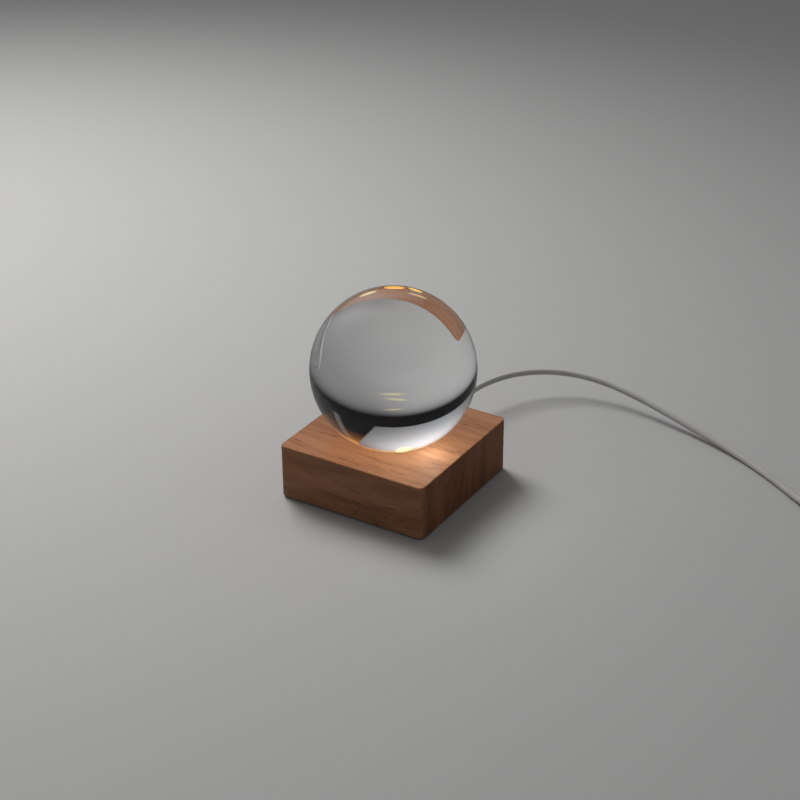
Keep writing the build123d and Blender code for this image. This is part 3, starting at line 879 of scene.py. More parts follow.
@dataclass(frozen=True)
class SoftRoom:
    """What is round the floor: even light, and for glass and gloss dark walls with soft windows.

    Bearings are in degrees from +Y towards +X, heights in degrees over the floor.
    """

    fill: Colour = (0.20, 0.203, 0.205)
    backdrop: Colour = (0.47, 0.47, 0.465)
    dark: Colour = (0.003, 0.003, 0.003)
    wall: Colour = (0.065, 0.065, 0.066)
    ceiling: Colour = (0.26, 0.262, 0.265)
    daylight: Colour = (1.43, 1.45, 1.51)
    strip: Colour = (0.13, 0.13, 0.13)
    glass_shade: Colour = (0.012, 0.012, 0.012)
    led_dim: Colour = (0.30, 0.110, 0.009)
    led_orange: Colour = (1.10, 0.44, 0.08)
    led_pale: Colour = (1.32, 1.01, 0.58)
    led_point: Colour = (2.8, 2.3, 1.06)
    window: SoftWindow = SoftWindow(-58.0, 38.0, (26.0, 18.0))
    far_window: SoftWindow = SoftWindow(138.0, 14.0, (26.0, 8.0), 0.35)
    ceiling_rise: Span = (40.0, 80.0)
    skirting: float = 3.4
    skirting_edge: float = 0.25
    post_start: float = -24.7
    post_edge: float = 0.7
    post_lean: float = 0.63
    post_end: float = 0.5
    post_end_edge: float = 1.0
    post_height: float = 44.0
    post_top_edge: float = 6.0
    strip_bearing: Span = (2.8, 5.2)
    strip_edge: float = 1.0
    glass_shade_start: Span = (5.5, 7.0)
    glass_shade_end: Span = (70.0, 95.0)
    dim_end: Span = (4.0, 9.0)
    dim_height: Span = (15.0, 34.0)
    led_rim: Span = (38.0, 45.0)
    rim_droop: float = 8.0
    droop_bearing: Span = (-24.0, -2.0)
    led_side: float = -32.0
    led_reach: Span = (66.0, 90.0)
    led: SoftWindow = SoftWindow(-40.5, 42.0, (8.5, 13.0))
    led_edge: Span = (0.2, 1.0)

    def build(self) -> bpy.types.World:
        """Make the room.

        Returns:
            The world.
        """
        world = bpy.data.worlds.new("soft_room")
        world.use_nodes = True
        graph = Graph(world.node_tree)
        east, north, up = graph.parts(graph.value("ShaderNodeTexCoord", output="Generated"))
        degrees = 180.0 / math.pi
        height = up.math("ARCSINE") * degrees
        bearing = east.math("ARCTAN2", north) * degrees
        room = self.walls(graph, bearing, height)
        camera, glossy, through = graph.rays("Camera", "Glossy", "Transmission")
        light = graph.mix(glossy, self.fill, room)
        light = graph.mix(through, light, self.led_light(graph, room, bearing, height))
        light = graph.mix(camera, light, self.backdrop)
        sky = graph.node("ShaderNodeBackground", {}, {"Color": light, "Strength": 1.0})
        graph.node("ShaderNodeOutputWorld", {}, {"Surface": sky.outputs[0]})
        return world

    def past_post(self, bearing: Value, height: Value) -> Value:
        """Give 0 for a look before the dark post's leaning edge, and 1 past it."""
        return (bearing - height * self.post_lean).edge(self.post_start, self.post_edge)

    def walls(self, graph: Graph, bearing: Value, height: Value) -> Value:
        """Paint the walls, the windows, the dark post and the dark skirting.

        Args:
            graph: The world's nodes.
            bearing: The bearing of the look.
            height: The height of the look.

        Returns:
            The room's colour.
        """
        room = graph.mix(height.step(*self.ceiling_rise), self.wall, self.ceiling)
        for window in (self.far_window, self.window):
            room = graph.mix(window.pool(bearing, height), room, self.daylight)
        first, last = self.strip_bearing
        strip = bearing.edge(first, self.strip_edge) * (1.0 - bearing.edge(last, self.strip_edge))
        room = graph.mix(strip, room, self.strip)
        post = self.past_post(bearing, height)
        post = post * (1.0 - bearing.edge(self.post_end, self.post_end_edge))
        post = post * (1.0 - height.edge(self.post_height, self.post_top_edge))
        low = 1.0 - height.edge(self.skirting, self.skirting_edge)
        return graph.mix((post + low).math("MINIMUM", 1.0), room, self.dark)

    def led_light(self, graph: Graph, room: Value, bearing: Value, height: Value) -> Value:
        """Add painted shade over one side of the room, and painted LED light that stands for the light the
        glass throws round inside itself.

        Args:
            graph: The world's nodes.
            room: The room's colour.
            bearing: The bearing of the look.
            height: The height of the look.

        Returns:
            The colour that a look through the glass shows.
        """
        # Painted shade: a darker stretch of the room that only looks through glass show.
        glass_shade = bearing.step(*self.glass_shade_start) * (1.0 - bearing.step(*self.glass_shade_end))
        seen = graph.mix(glass_shade, room, self.glass_shade)
        behind = self.past_post(bearing, height)
        # Painted LED light: a dim warm glow past the post, a warm rim band and a hot spot, for looks
        # through glass alone.
        dim = behind * (1.0 - bearing.step(*self.dim_end))
        seen = graph.mix(dim * height.step(*self.dim_height), seen, self.led_dim)
        side = 1.0 - abs(bearing - self.led_side).step(*self.led_reach)
        lifted = height + bearing.step(*self.droop_bearing) * behind * self.rim_droop
        lit = graph.mix(self.window.pool(bearing, height), self.led_orange, self.led_pale)
        seen = graph.mix(lifted.step(*self.led_rim) * side, seen, lit)
        point = 1.0 - self.led.apart(bearing, height).step(*self.led_edge)
        return graph.mix(point, seen, self.led_point)


CLEAR_GLASS = ClearGlass("clear_glass", tint=(0.975, 0.985, 0.98))
BEECH_WOOD = OiledWood("beech_wood")
WINDOW_ACRYLIC = ClearGlass("window_acrylic", refraction=1.49, least_roughness=0.03, smudge=0.1)
WHITE_PLASTIC = MouldedPlastic("white_plastic", colour=(0.84, 0.83, 0.80), roughness=0.5)
BOARD_WHITE = CircuitBoard("board_white")
LED_PACKAGE = LitLed("led_package")
RESISTOR_BLACK = MouldedPlastic("resistor_black", colour=(0.03, 0.03, 0.034), roughness=0.3)
SCREW_STEEL = PlatedMetal("screw_steel", colour=(0.60, 0.60, 0.61), roughness=0.3)
SOLDER_TIN = PlatedMetal("solder_tin", colour=(0.73, 0.74, 0.76), roughness=0.2)
WIRE_RED = MouldedPlastic("wire_red", colour=(0.50, 0.025, 0.02), roughness=0.35)
WIRE_BLACK = MouldedPlastic("wire_black", colour=(0.02, 0.02, 0.02), roughness=0.35)
CORD_JACKET = MouldedPlastic("cord_jacket", (0.46, 0.449, 0.43), roughness=0.5, grain=Grain(1700.0))
TIE_NYLON = MouldedPlastic("tie_nylon", colour=(0.80, 0.79, 0.74), roughness=0.4)
GROMMET_RUBBER = MouldedPlastic("grommet_rubber", colour=(0.44, 0.429, 0.41), roughness=0.58)
COVER_FIBRE = FibreBoard("cover_fibre")
FOOT_RUBBER = MouldedPlastic("foot_rubber", (0.035, 0.035, 0.036), roughness=0.7, grain=Grain(1500.0))
SWITCH_PLASTIC = MouldedPlastic(
    "switch_plastic", colour=(0.52, 0.508, 0.486), roughness=0.4, part_height=SWITCH_SPLIT
)
ROCKER_PLASTIC = MouldedPlastic("rocker_plastic", colour=(0.60, 0.586, 0.562), roughness=0.32)
MARK_GREY = MouldedPlastic("mark_grey", colour=(0.20, 0.20, 0.21), roughness=0.4)
CONTACT_BRASS = PlatedMetal("contact_brass", colour=(0.76, 0.57, 0.25), roughness=0.25)
TIE_STRAP = WovenStrap("tie_strap")
PLUG_VINYL = MouldedPlastic(
    "plug_vinyl", (0.47, 0.459, 0.439), roughness=0.46, grain=Grain(1900.0), part_height=PLUG_AXIS
)
PLUG_STEEL = PlatedMetal("plug_steel", colour=(0.72, 0.72, 0.72), roughness=0.22, brushing=Brushing.ALONG)
TONGUE_PLASTIC = MouldedPlastic("tongue_plastic", colour=(0.84, 0.84, 0.81), roughness=0.4)
CONTACT_GOLD = PlatedMetal("contact_gold", colour=(0.85, 0.63, 0.26), roughness=0.2)
ORANGE_GLINT = LedGlint("orange_glint")
YELLOW_GLINT = LedGlint("yellow_glint", light=(1.0, 0.66, 0.14))
PALE_GLINT = LedGlint("pale_glint", light=(1.0, 0.78, 0.30), strength=1.15)
FAINT_GLINT = LedGlint("faint_glint", light=(1.0, 0.70, 0.30), strength=0.75)
GHOST_LIGHT = GhostLight("ghost_light", light=(1.0, 0.82, 0.36), strength=1.0)
PALE_FLOOR = PaleFloor("pale_table")


class MeshDraft:
    """A mesh in the making, from rings of points with faces between them."""

    def __init__(self) -> None:
        """Start empty."""
        self.bm = bmesh.new()

    def ring(self, points: Iterable[Sequence[float]]) -> list[bmesh.types.BMVert]:
        """Add a ring of points."""
        return [self.bm.verts.new(point) for point in points]

    def bridge(self, first: Sequence[bmesh.types.BMVert], second: Sequence[bmesh.types.BMVert]) -> None:
        """Lay faces between two closed rings of as many points.

        Args:
            first: The first ring.
            second: The second ring.
        """
        count = len(first)
        for k in range(count):
            after = (k + 1) % count
            self.bm.faces.new((first[k], first[after], second[after], second[k]))

    def loft(
        self,
        rows: Sequence[Iterable[Sequence[float]]],
        capped: bool = True,
        joined: bool = False,
    ) -> list[list[bmesh.types.BMVert]]:
        """Join closed rings into a skin.

        Args:
            rows: The rings' points.
            capped: Whether the first and last ring are closed with a face.
            joined: Whether the last ring meets the first.

        Returns:
            The rings.
        """
        rings = [self.ring(row) for row in rows]
        for first, second in zip(rings, rings[1:]):
            self.bridge(first, second)
        if joined:
            self.bridge(rings[-1], rings[0])
        elif capped:
            self.bm.faces.new(list(reversed(rings[0])))
            self.bm.faces.new(rings[-1])
        return rings

    def lathe(
        self,
        outline: Sequence[tuple[float, float]],
        steps: int,
        place: Matrix = Matrix.Identity(4),
        capped: bool = True,
        joined: bool = False,
    ) -> list[list[bmesh.types.BMVert]]:
        """Turn an outline about an axis.

        Args:
            outline: Radius and height of each point.
            steps: How many sides it has.
            place: Where its own Z axis goes.
            capped: Whether its ends are closed with a face.
            joined: Whether the outline is closed, as of a ring.

        Returns:
            The rings.
        """
        turns = [2.0 * math.pi * k / steps for k in range(steps)]
        rows = []
        for radius, height in outline:
            row = [Vector((radius * math.cos(turn), radius * math.sin(turn), height)) for turn in turns]
            rows.append([place @ point for point in row])
        return self.loft(rows, capped, joined)

    def bevel(self, width: float, steps: int, sharp: float) -> None:
        """Round every edge that is sharper than an angle.

        Args:
            width: How wide the rounding is.
            steps: How many faces it has.
            sharp: The angle, in radians.
        """
        self.bm.normal_update()
        edges = [edge for edge in self.bm.edges if edge.is_manifold and edge.calc_face_angle() > sharp]
        shape = {"offset": width, "segments": steps, "profile": 0.5}
        bmesh.ops.bevel(self.bm, geom=edges, affect="EDGES", clamp_overlap=True, **shape)

    def piece(self, name: str, sharp: float = math.radians(40.0)) -> bpy.types.Object:
        """Make the object.

        Args:
            name: The piece's name.
            sharp: The angle from which an edge shows, in radians.

        Returns:
            The object, in the scene.
        """
        bmesh.ops.recalc_face_normals(self.bm, faces=self.bm.faces)
        mesh = bpy.data.meshes.new(name)
        self.bm.to_mesh(mesh)
        self.bm.free()
        for polygon in mesh.polygons:
            polygon.use_smooth = True
        mesh.set_sharp_from_angle(angle=sharp)
        return in_scene(name, mesh)


def soft_line(name: str, routes: Sequence[Sequence[Point]], diameter: float) -> bpy.types.Object:
    """Make a round cord or wire on a smooth line.

    Args:
        name: The piece's name.
        routes: The control points of each of its lines.
        diameter: How thick it is.

    Returns:
        The curve, in the scene.
    """
    curve = bpy.data.curves.new(name, "CURVE")
    curve.dimensions = "3D"
    curve.bevel_depth = diameter / 2.0
    curve.bevel_resolution = LINE_ROUNDNESS
    curve.resolution_u = LINE_STEPS
    curve.use_fill_caps = True
    for route in routes:
        spline = curve.splines.new("NURBS")
        spline.points.add(len(route) - 1)
        for control, place in zip(spline.points, route):
            control.co = (*place, 1.0)
        spline.order_u = 3
        spline.use_endpoint_u = True
    return in_scene(name, curve)


@dataclass
class SubAssembly:
    """What every sub-assembly shares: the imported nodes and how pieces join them."""

    nodes: NodeMap

    def dress(self, finishes: Mapping[str, Finish]) -> list[bpy.types.Object]:
        """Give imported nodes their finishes.

        Args:
            finishes: The finish of each node, by the node's name.

        Returns:
            The nodes.
        """
        for name, finish in finishes.items():
            mesh = self.nodes[name].data
            mesh.materials.clear()
            mesh.materials.append(finish.material())
            LOG.info("dressed %s in %s", name, finish.name)
        return [self.nodes[name] for name in finishes]

    def add(
        self,
        piece: bpy.types.Object,
        finish: Finish,
        slot: str,
        body: str = BASE_BODY,
        instead_of: Sequence[str] = (),
    ) -> bpy.types.Object:
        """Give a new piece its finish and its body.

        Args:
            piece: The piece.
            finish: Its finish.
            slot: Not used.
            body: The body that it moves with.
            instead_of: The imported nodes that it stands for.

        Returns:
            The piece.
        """
        piece.data.materials.append(finish.material())
        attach(piece, body)
        if instead_of:
            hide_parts(*instead_of)
        LOG.info("built %s on %s", piece.name, body)
        return piece


@dataclass
class GlassBall(SubAssembly):
    """The solid glass ball, loose in its seat."""

    radius: float = 0.040
    middle_height: float = 0.0622
    divisions: int = 48

    def build(self) -> None:
        """Round a gridded cube, from -1 to 1 each way, into an even ball."""
        draft = MeshDraft()
        bmesh.ops.create_cube(draft.bm, size=2.0)
        edges = draft.bm.edges[:]
        bmesh.ops.subdivide_edges(draft.bm, edges=edges, cuts=self.divisions - 1, use_grid_fill=True)
        middle = Vector((0.0, 0.0, self.middle_height))
        for vert in draft.bm.verts:
            even = Vector([math.tan(part * math.pi / 4.0) for part in vert.co])
            vert.co = even.normalized() * self.radius + middle
        piece = draft.piece("polished_ball", math.pi)
        self.add(piece, CLEAR_GLASS, "clear_glass", BALL_BODY, ["glass_ball"])


@dataclass
class WoodBlock(SubAssembly):
    """The square block that carries the ball."""

    def build(self) -> None:
        """Dress the block."""
        self.dress({"wood_base": BEECH_WOOD})


@dataclass
class LightEngine(SubAssembly):
    """The window, the ring of LEDs and the wiring under the ball."""

    wire_diameter: float = 0.0012
    wire_out: float = 0.0008
    wire_start: float = 0.0140
    wire_fork: float = 0.0108
    bend_start: float = 0.0022
    bend_share: float = 0.85
    bend_lift: float = 0.0004
    solder_out: float = 0.0035
    solder_height: float = 0.0168

    def build(self) -> None:
        """Dress the window and the board, and run the wires."""
        self.dress({
            "light_window": WINDOW_ACRYLIC,
            "reflector_ring": WHITE_PLASTIC,
            "led_board": BOARD_WHITE,
            "leds": LED_PACKAGE,
            "led_resistors": RESISTOR_BLACK,
            "board_screws": SCREW_STEEL,
            "solder_joints": SOLDER_TIN,
        })
        self.run_wire("red_board_wire", 1.0, WIRE_RED, "wire_red", "red_wire")
        self.run_wire("black_board_wire", -1.0, WIRE_BLACK, "wire_black", "black_wire")

    def run_wire(self, name: str, side: float, finish: Finish, slot: str, node: str) -> None:
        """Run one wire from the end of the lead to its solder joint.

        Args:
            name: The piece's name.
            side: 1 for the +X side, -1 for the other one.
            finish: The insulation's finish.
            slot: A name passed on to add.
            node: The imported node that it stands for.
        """
        near, far = side * self.wire_out, side * self.solder_out
        route = [
            (near, self.wire_start, LEAD_HEIGHT),
            (near, self.wire_fork, LEAD_HEIGHT),
            (far * self.bend_share, self.bend_start, LEAD_HEIGHT),
            (far, 0.0, LEAD_HEIGHT + self.bend_lift),
            (far, 0.0, self.solder_height),
        ]
        self.add(soft_line(name, [route], self.wire_diameter), finish, slot, BASE_BODY, [node])


@dataclass
class Underside(SubAssembly):
    """The bottom cover, its screws and the feet."""

    def build(self) -> None:
        """Dress what shows from below."""
        self.dress({"bottom_cover": COVER_FIBRE, "cover_screws": SCREW_STEEL, "feet": FOOT_RUBBER})


@dataclass
class LeadRun(SubAssembly):
    """The lead from inside the block to its switch, with the grommet that it leaves through."""

    diameter: float = LEAD_DIAMETER
    length: float = 0.314
    exit: Point = (0.0, BACK_FACE, LEAD_HEIGHT)
    route: tuple[Point, ...] = (
        (0.0, 0.0140, 0.01455),
        (0.0, 0.0514, 0.01455),
        (-0.0015, 0.0690, 0.0146),
        (-0.0007, 0.0882, 0.0143),
        (0.0085, 0.1098, 0.0139),
        (0.0258, 0.1248, 0.0127),
        (0.0478, 0.1294, 0.0111),
        (0.0716, 0.1267, 0.0083),
        (0.0934, 0.1214, 0.0056),
        (0.1146, 0.1156, 0.0031),
        (0.1368, 0.1075, 0.0017),
        (0.1580, 0.0958, 0.0016),
        (0.1750, 0.0845, 0.0017),
        (0.1870, 0.0755, 0.0032),
        (0.1952, 0.0688, 0.0049865),
        (0.2022, 0.0631, 0.0049865),
    )
    bore: float = 0.00175
    neck: float = 0.0032
    neck_start: float = 0.031
    flange: float = 0.0046
    flange_end: float = 0.0414
    tip: float = 0.0514
    tip_radius: float = 0.00245
    ease: float = 0.00045
    round_share: float = 0.3
    root_share: float = 0.4
    ribs: int = 5
    groove: float = 0.00038
    groove_shape: tuple[Span, ...] = ((0.0, 0.0), (0.1, 1.0), (0.36, 1.0), (0.46, 0.0), (0.9, 0.0))
    grommet_sides: int = 40

    def build(self, switch_pieces: Sequence[bpy.types.Object]) -> None:
        """Lay the lead and set its grommet.

        Args:
            switch_pieces: Not used.
        """
        self.dress({"pull_stop_tie": TIE_NYLON})
        grommet = self.build_grommet()
        lead = soft_line("lead_to_switch", [self.route], self.diameter)
        self.add(lead, CORD_JACKET, "cord_jacket", BASE_BODY, ["cord_tail", "cord_run"])

    def build_grommet(self) -> bpy.types.Object:
        """Turn the grommet: neck, rounded flange and a ribbed tail that tapers along the lead.

        Returns:
            The grommet.
        """
        rounded = self.ease * self.round_share
        outline = [
            (self.bore, self.neck_start),
            (self.neck - self.ease, self.neck_start),
            (self.neck, self.neck_start + self.ease),
            (self.neck, BACK_FACE),
            (self.flange, BACK_FACE),
            (self.flange, self.flange_end - self.ease),
            (self.flange - rounded, self.flange_end - rounded),
            (self.flange - self.ease, self.flange_end),
            (self.neck + self.ease * self.root_share, self.flange_end),
        ]
        pitch = (self.tip - self.flange_end - 2.0 * self.ease) / self.ribs
        for rib in range(self.ribs):
            start = self.flange_end + self.ease + rib * pitch
            for share, depth in self.groove_shape:
                height = start + share * pitch
                taper = (height - self.flange_end) / (self.tip - self.flange_end)
                skin = self.neck + (self.tip_radius - self.neck) * taper
                outline.append((skin - depth * self.groove, height))
        outline += [(self.tip_radius, self.tip - self.ease), (self.tip_radius - self.ease, self.tip)]
        outline.append((self.bore, self.tip))
        draft = MeshDraft()
        place = Matrix.Translation((0.0, 0.0, LEAD_HEIGHT)) @ Matrix.Rotation(-QUARTER_TURN, 4, "X")
        draft.lathe(outline, self.grommet_sides, place, joined=True)
        piece = draft.piece("ribbed_grommet")
        return self.add(piece, GROMMET_RUBBER, "grommet_rubber", BASE_BODY, ["cable_grommet"])


@dataclass
class InlineSwitch(SubAssembly):
    """The rocker switch on the lead."""

    middle: Point = (0.216995, 0.051053, 0.0)
    pivot_height: float = 0.0067731
    tilt: float = math.radians(9.0)
    half_length: float = 0.0063
    half_width: float = 0.0033
    rise: float = 0.0042
    dip: float = 0.0012
    dip_steps: int = 14
    shoulder: float = 0.0014
    foot: float = 0.00315
    depth: float = 0.0016
    rounding: float = 0.0004
    rounding_steps: int = 3
    rounded_from: float = math.radians(35.0)
    axle_radius: float = 0.0009
    axle_sink: float = 0.0006
    axle_end: float = 0.0049
    axle_ease: float = 0.0002
    axle_sides: int = 24
    mark_out: float = 0.0040
    mark_root: float = -0.0003
    mark_high: float = 0.00016
    mark_shoulder: float = 0.6
    bar_half_long: float = 0.0012
    bar_half_wide: float = 0.00026
    bar_top: float = 0.75
    ring_inside: float = 0.00072
    ring_outside: float = 0.00126
    ring_ease: float = 0.00012
    ring_sides: int = 36
    wire_diameter: float = 0.0012
    wire_end: float = 0.018479
    wire_aside: float = 0.0006
    terminal_tail: float = 0.013079
    tail_height: float = 0.0025
    bend: float = 0.0158
    bend_height: float = 0.0036
    bypass_aside: float = 0.0026
    bypass_height: float = 0.0022
    bypass_half: float = 0.004

    def rocker_axes(self) -> Matrix:
        """Give the rocker's own axes at rest, tipped to its on side."""
        lift = Matrix.Translation((0.0, 0.0, self.pivot_height))
        return lead_axes(self.middle) @ lift @ Matrix.Rotation(self.tilt, 4, "Y")

    def build(self) -> list[bpy.types.Object]:
        """Dress the cases, and build the rocker, its marks and the wires.

        Returns:
            The pieces that the lead carries.
        """
        kept = self.dress({
            "switch_lower_case": SWITCH_PLASTIC,
            "switch_upper_case": SWITCH_PLASTIC,
            "switch_terminals": CONTACT_BRASS,
            "switch_screws": SCREW_STEEL,
        })
        return [self.build_rocker(), self.build_marks(), self.build_wires(), *kept]

    def dish(self, x: float) -> float:
        """Give the height of the rocker's dipped top."""
        return self.rise - self.dip + self.dip * (x / self.half_length) ** 2

    def build_rocker(self) -> bpy.types.Object:
        """Build the rocker with its dished top, rounded edges and stub axles.

        Returns:
            The rocker.
        """
        top = [self.half_length * (2.0 * k / self.dip_steps - 1.0) for k in range(self.dip_steps + 1)]
        outline = [(x, self.dish(x)) for x in top]
        outline += [(self.half_length, self.shoulder), (self.foot, -self.depth)]
        outline += [(-self.foot, -self.depth), (-self.half_length, self.shoulder)]
        draft = MeshDraft()
        draft.loft([[(x, side * self.half_width, z) for x, z in outline] for side in (-1.0, 1.0)])
        draft.bevel(self.rounding, self.rounding_steps, self.rounded_from)
        stub = [
            (self.axle_radius, self.half_width - self.axle_sink),
            (self.axle_radius, self.axle_end - self.axle_ease),
            (self.axle_radius - self.axle_ease, self.axle_end),
        ]
        for side in (-1.0, 1.0):
            draft.lathe(stub, self.axle_sides, Matrix.Rotation(-side * QUARTER_TURN, 4, "X"))
        piece = draft.piece("dished_rocker")
        piece.matrix_world = self.rocker_axes()
        return self.add(piece, ROCKER_PLASTIC, "rocker_plastic", ROCKER_BODY, ["switch_rocker"])

    def mark_place(self, x: float) -> Matrix:
        """Give the axes of a mark on the rocker's dipped top.

        Args:
            x: Its place along the rocker.

        Returns:
            The axes, with z square to the top.
        """
        slope = math.atan(2.0 * self.dip * x / self.half_length ** 2)
        return Matrix.Translation((x, 0.0, self.dish(x))) @ Matrix.Rotation(-slope, 4, "Y")

    def build_marks(self) -> bpy.types.Object:
        """Raise a bar on the on side and a ring on the off side of the rocker.

        Returns:
            The marks.
        """
        draft = MeshDraft()
        place = self.mark_place(self.mark_out)
        shoulder = self.mark_high * self.mark_shoulder
        rows = []
        for grow, height in ((1.0, self.mark_root), (1.0, shoulder), (self.bar_top, self.mark_high)):
            long, wide = self.bar_half_long * grow, self.bar_half_wide * grow
            corners = ((-wide, -long), (wide, -long), (wide, long), (-wide, long))
            rows.append([place @ Vector((x, y, height)) for x, y in corners])
        draft.loft(rows)
        ring = [
            (self.ring_inside, self.mark_root),
            (self.ring_outside, self.mark_root),
            (self.ring_outside, shoulder),
            (self.ring_outside - self.ring_ease, self.mark_high),
            (self.ring_inside + self.ring_ease, self.mark_high),
            (self.ring_inside, shoulder),
        ]
        draft.lathe(ring, self.ring_sides, self.mark_place(-self.mark_out), joined=True)
        piece = draft.piece("rocker_marks")
        piece.matrix_world = self.rocker_axes()
        return self.add(piece, MARK_GREY, "rocker_plastic", ROCKER_BODY)

    def build_wires(self) -> bpy.types.Object:
        """Run the wires inside the case: one past the rocker, and one from each end to its terminal.

        Returns:
            The wires.
        """
        half = [
            (self.wire_end, self.wire_aside, SWITCH_SPLIT),
            (self.terminal_tail, self.bypass_aside, self.bypass_height),
            (self.bypass_half, self.bypass_aside, self.bypass_height),
        ]
        routes = [[(-x, y, z) for x, y, z in half] + half[::-1]]
        for end in (-1.0, 1.0):
            start = (end * self.wire_end, -self.wire_aside, SWITCH_SPLIT)
            bend = (end * self.bend, -self.wire_aside, self.bend_height)
            routes.append([start, bend, (end * self.terminal_tail, -self.wire_aside, self.tail_height)])
        piece = soft_line("switch_inner_wires", routes, self.wire_diameter)
        piece.matrix_world = lead_axes(self.middle)
        return self.add(piece, WIRE_RED, "wire_red", BASE_BODY, ["switch_wires"])


@dataclass
class StoredLead(SubAssembly):
    """The rest of the lead: a short stretch, the neat coil with its strap, and the end at the plug."""

    diameter: float = LEAD_DIAMETER
    length: float = 0.682
    stretch: tuple[Point, ...] = (
        (0.0, 0.0, 0.0049865),
        (0.0070, 0.0, 0.0049865),
        (0.0150, 0.0006, 0.0035546),
        (0.0220, 0.0, 0.0026),
        (0.0280, 0.0, 0.0026),
    )
    ending: tuple[Point, ...] = (
        (0.0344, 0.0019, 0.0064),
        (0.0394, 0.0019, 0.0064),
        (0.0454, 0.0015, 0.00496),
        (0.0504, 0.0019, 0.0040),
        (0.0544, 0.0019, 0.0040),
    )
    entry: float = 0.0312
    first_radius: float = 0.0214
    inner_radius: float = 0.0113
    step: float = 0.0019
    climb_room: float = 0.0006
    turns_in: int = 5
    turns_out: int = 6
    low: float = 0.0026
    high: float = 0.0064
    points_per_half: int = 12
    strap_thickness: float = 0.0006
    ease_share: float = 0.45
    strap_inside: float = 0.00872
    strap_outside: float = 0.0237
    strap_low: float = 0.0003
    strap_high: float = 0.0087
    strap_corner: float = 0.0019
    strap_start: float = 0.0016
    start_shares: tuple[float, ...] = (0.0, 0.4, 0.8)
    overlap: float = 0.0034
    overlap_steps: int = 8
    layer_share: float = 1.06
    overlap_climb: float = 1.6
    end_share: float = 0.15
    end_lift: float = 0.0003

    def half_turn(
        self,
        side: float,
        reach: float,
        next_reach: float,
        rise: float,
        base: float,
    ) -> list[Point]:
        """Give one half turn's control points, whose sides touch its circle.

        Args:
            side: 1 where it starts on the left of the coil, -1 on the right.
            reach: Its start's distance from the coil's middle.
            next_reach: Its end's distance.
            rise: How much it climbs.
            base: The height that it starts from.

        Returns:
            The points, along the lead, to its left and up.
        """
        count = self.points_per_half
        radius = (reach + next_reach) / 2.0 / math.cos(math.pi / 2.0 / count)
        middle = side * (reach - next_reach) / 2.0
        points = []
        for k in range(count):
            share = (k + 0.5) / count
            left = middle + side * radius * math.cos(math.pi * share)
            along = side * radius * math.sin(math.pi * share)
            eased = 2.0 * share * share if share < 0.5 else 1.0 - 2.0 * (1.0 - share) ** 2
            points.append((self.entry + along, left - self.first_radius, base + rise * eased))
        return points

    def coil(self) -> list[Point]:
        """Wind the coil: in along the floor, up at the inside and out on top.

        Returns:
            Its control points, along the lead, to its left and up.
        """
        points: list[Point] = []
        reach, side = self.first_radius, 1.0
        for turn in range(self.turns_in):
            next_reach = self.inner_radius if turn == self.turns_in - 1 else reach - self.step
            points += self.half_turn(side, reach, next_reach, 0.0, self.low)
            reach, side = next_reach, -side
        points += self.half_turn(side, reach, reach, self.high - self.low, self.low)
        side = -side
        for turn in range(self.turns_out):
            next_reach = reach + self.step + (self.climb_room if turn == 0 else 0.0)
            points += self.half_turn(side, reach, next_reach, 0.0, self.high)
            reach, side = next_reach, -side
        return points

    def build(self, plug_pieces: Sequence[bpy.types.Object]) -> None:
        """Lay the rest of the lead and tie its coil.

        Args:
            plug_pieces: Not used.
        """
        axes = lead_axes(SWITCH_END)
        route = [tuple(axes @ Vector(point)) for point in (*self.stretch, *self.coil(), *self.ending)]
        lead = soft_line("lead_to_plug", [route], self.diameter)
        self.add(lead, CORD_JACKET, "cord_jacket", BASE_BODY, ["cord_lead", "cord_coil", "cord_end"])
        strap = self.build_strap()

    def strap_line(self) -> list[EdgePoint]:
        """Give the strap's line round the coil's turns, with its overlap.

        Returns:
            Place across the coil, height, and the two parts of the outward direction.
        """
        corner = self.strap_corner
        left, right = corner - self.strap_outside, -corner - self.strap_inside
        low, high = self.strap_low + corner, self.strap_high - corner
        start = (left + right) / 2.0 + self.strap_start
        line = [(start + (right - start) * share, self.strap_high, 0.0, 1.0) for share in self.start_shares]
        corners = ((right, high, 90.0), (right, low, 0.0), (left, low, -90.0), (left, high, -180.0))
        for across, up, first in corners:
            line += corner_points(across, up, corner, first)
        end = start + self.overlap
        layer = self.strap_thickness * self.layer_share
        for k in range(1, self.overlap_steps + 1):
            share = k / self.overlap_steps
            eased = min(1.0, share * self.overlap_climb)
            lift = layer * eased * eased * (3.0 - 2.0 * eased)
            lift += self.end_lift * max(0.0, share - 1.0 + self.end_share) / self.end_share
            line.append((left + (end - left) * share, self.strap_high + lift, 0.0, 1.0))
        return line

    def build_strap(self) -> bpy.types.Object:
        """Wrap the strap round the coil on the side away from the lead's ends.

        Returns:
            The strap.
        """
        half, thick = STRAP_WIDTH / 2.0, self.strap_thickness / 2.0
        ease = thick * self.ease_share
        lower = [(-half + ease, -thick), (0.0, -thick), (half - ease, -thick), (half, -thick + ease)]
        upper = [(half, thick - ease), (half - ease, thick), (0.0, thick), (-half + ease, thick)]
        section = lower + upper + [(-half, thick - ease), (-half, -thick + ease)]
        rows = []
        for across, up, out_across, out_up in self.strap_line():
            rows.append([(across + out * out_across, along, up + out * out_up) for along, out in section])
        draft = MeshDraft()
        draft.loft(rows)
        piece = draft.piece("coil_strap")
        middle = Matrix.Translation((self.entry, -self.first_radius, 0.0))
        piece.matrix_world = lead_axes(SWITCH_END) @ middle @ Matrix.Rotation(QUARTER_TURN, 4, "Z")
        return self.add(piece, TIE_STRAP, "tie_strap", BASE_BODY, ["coil_tie"])


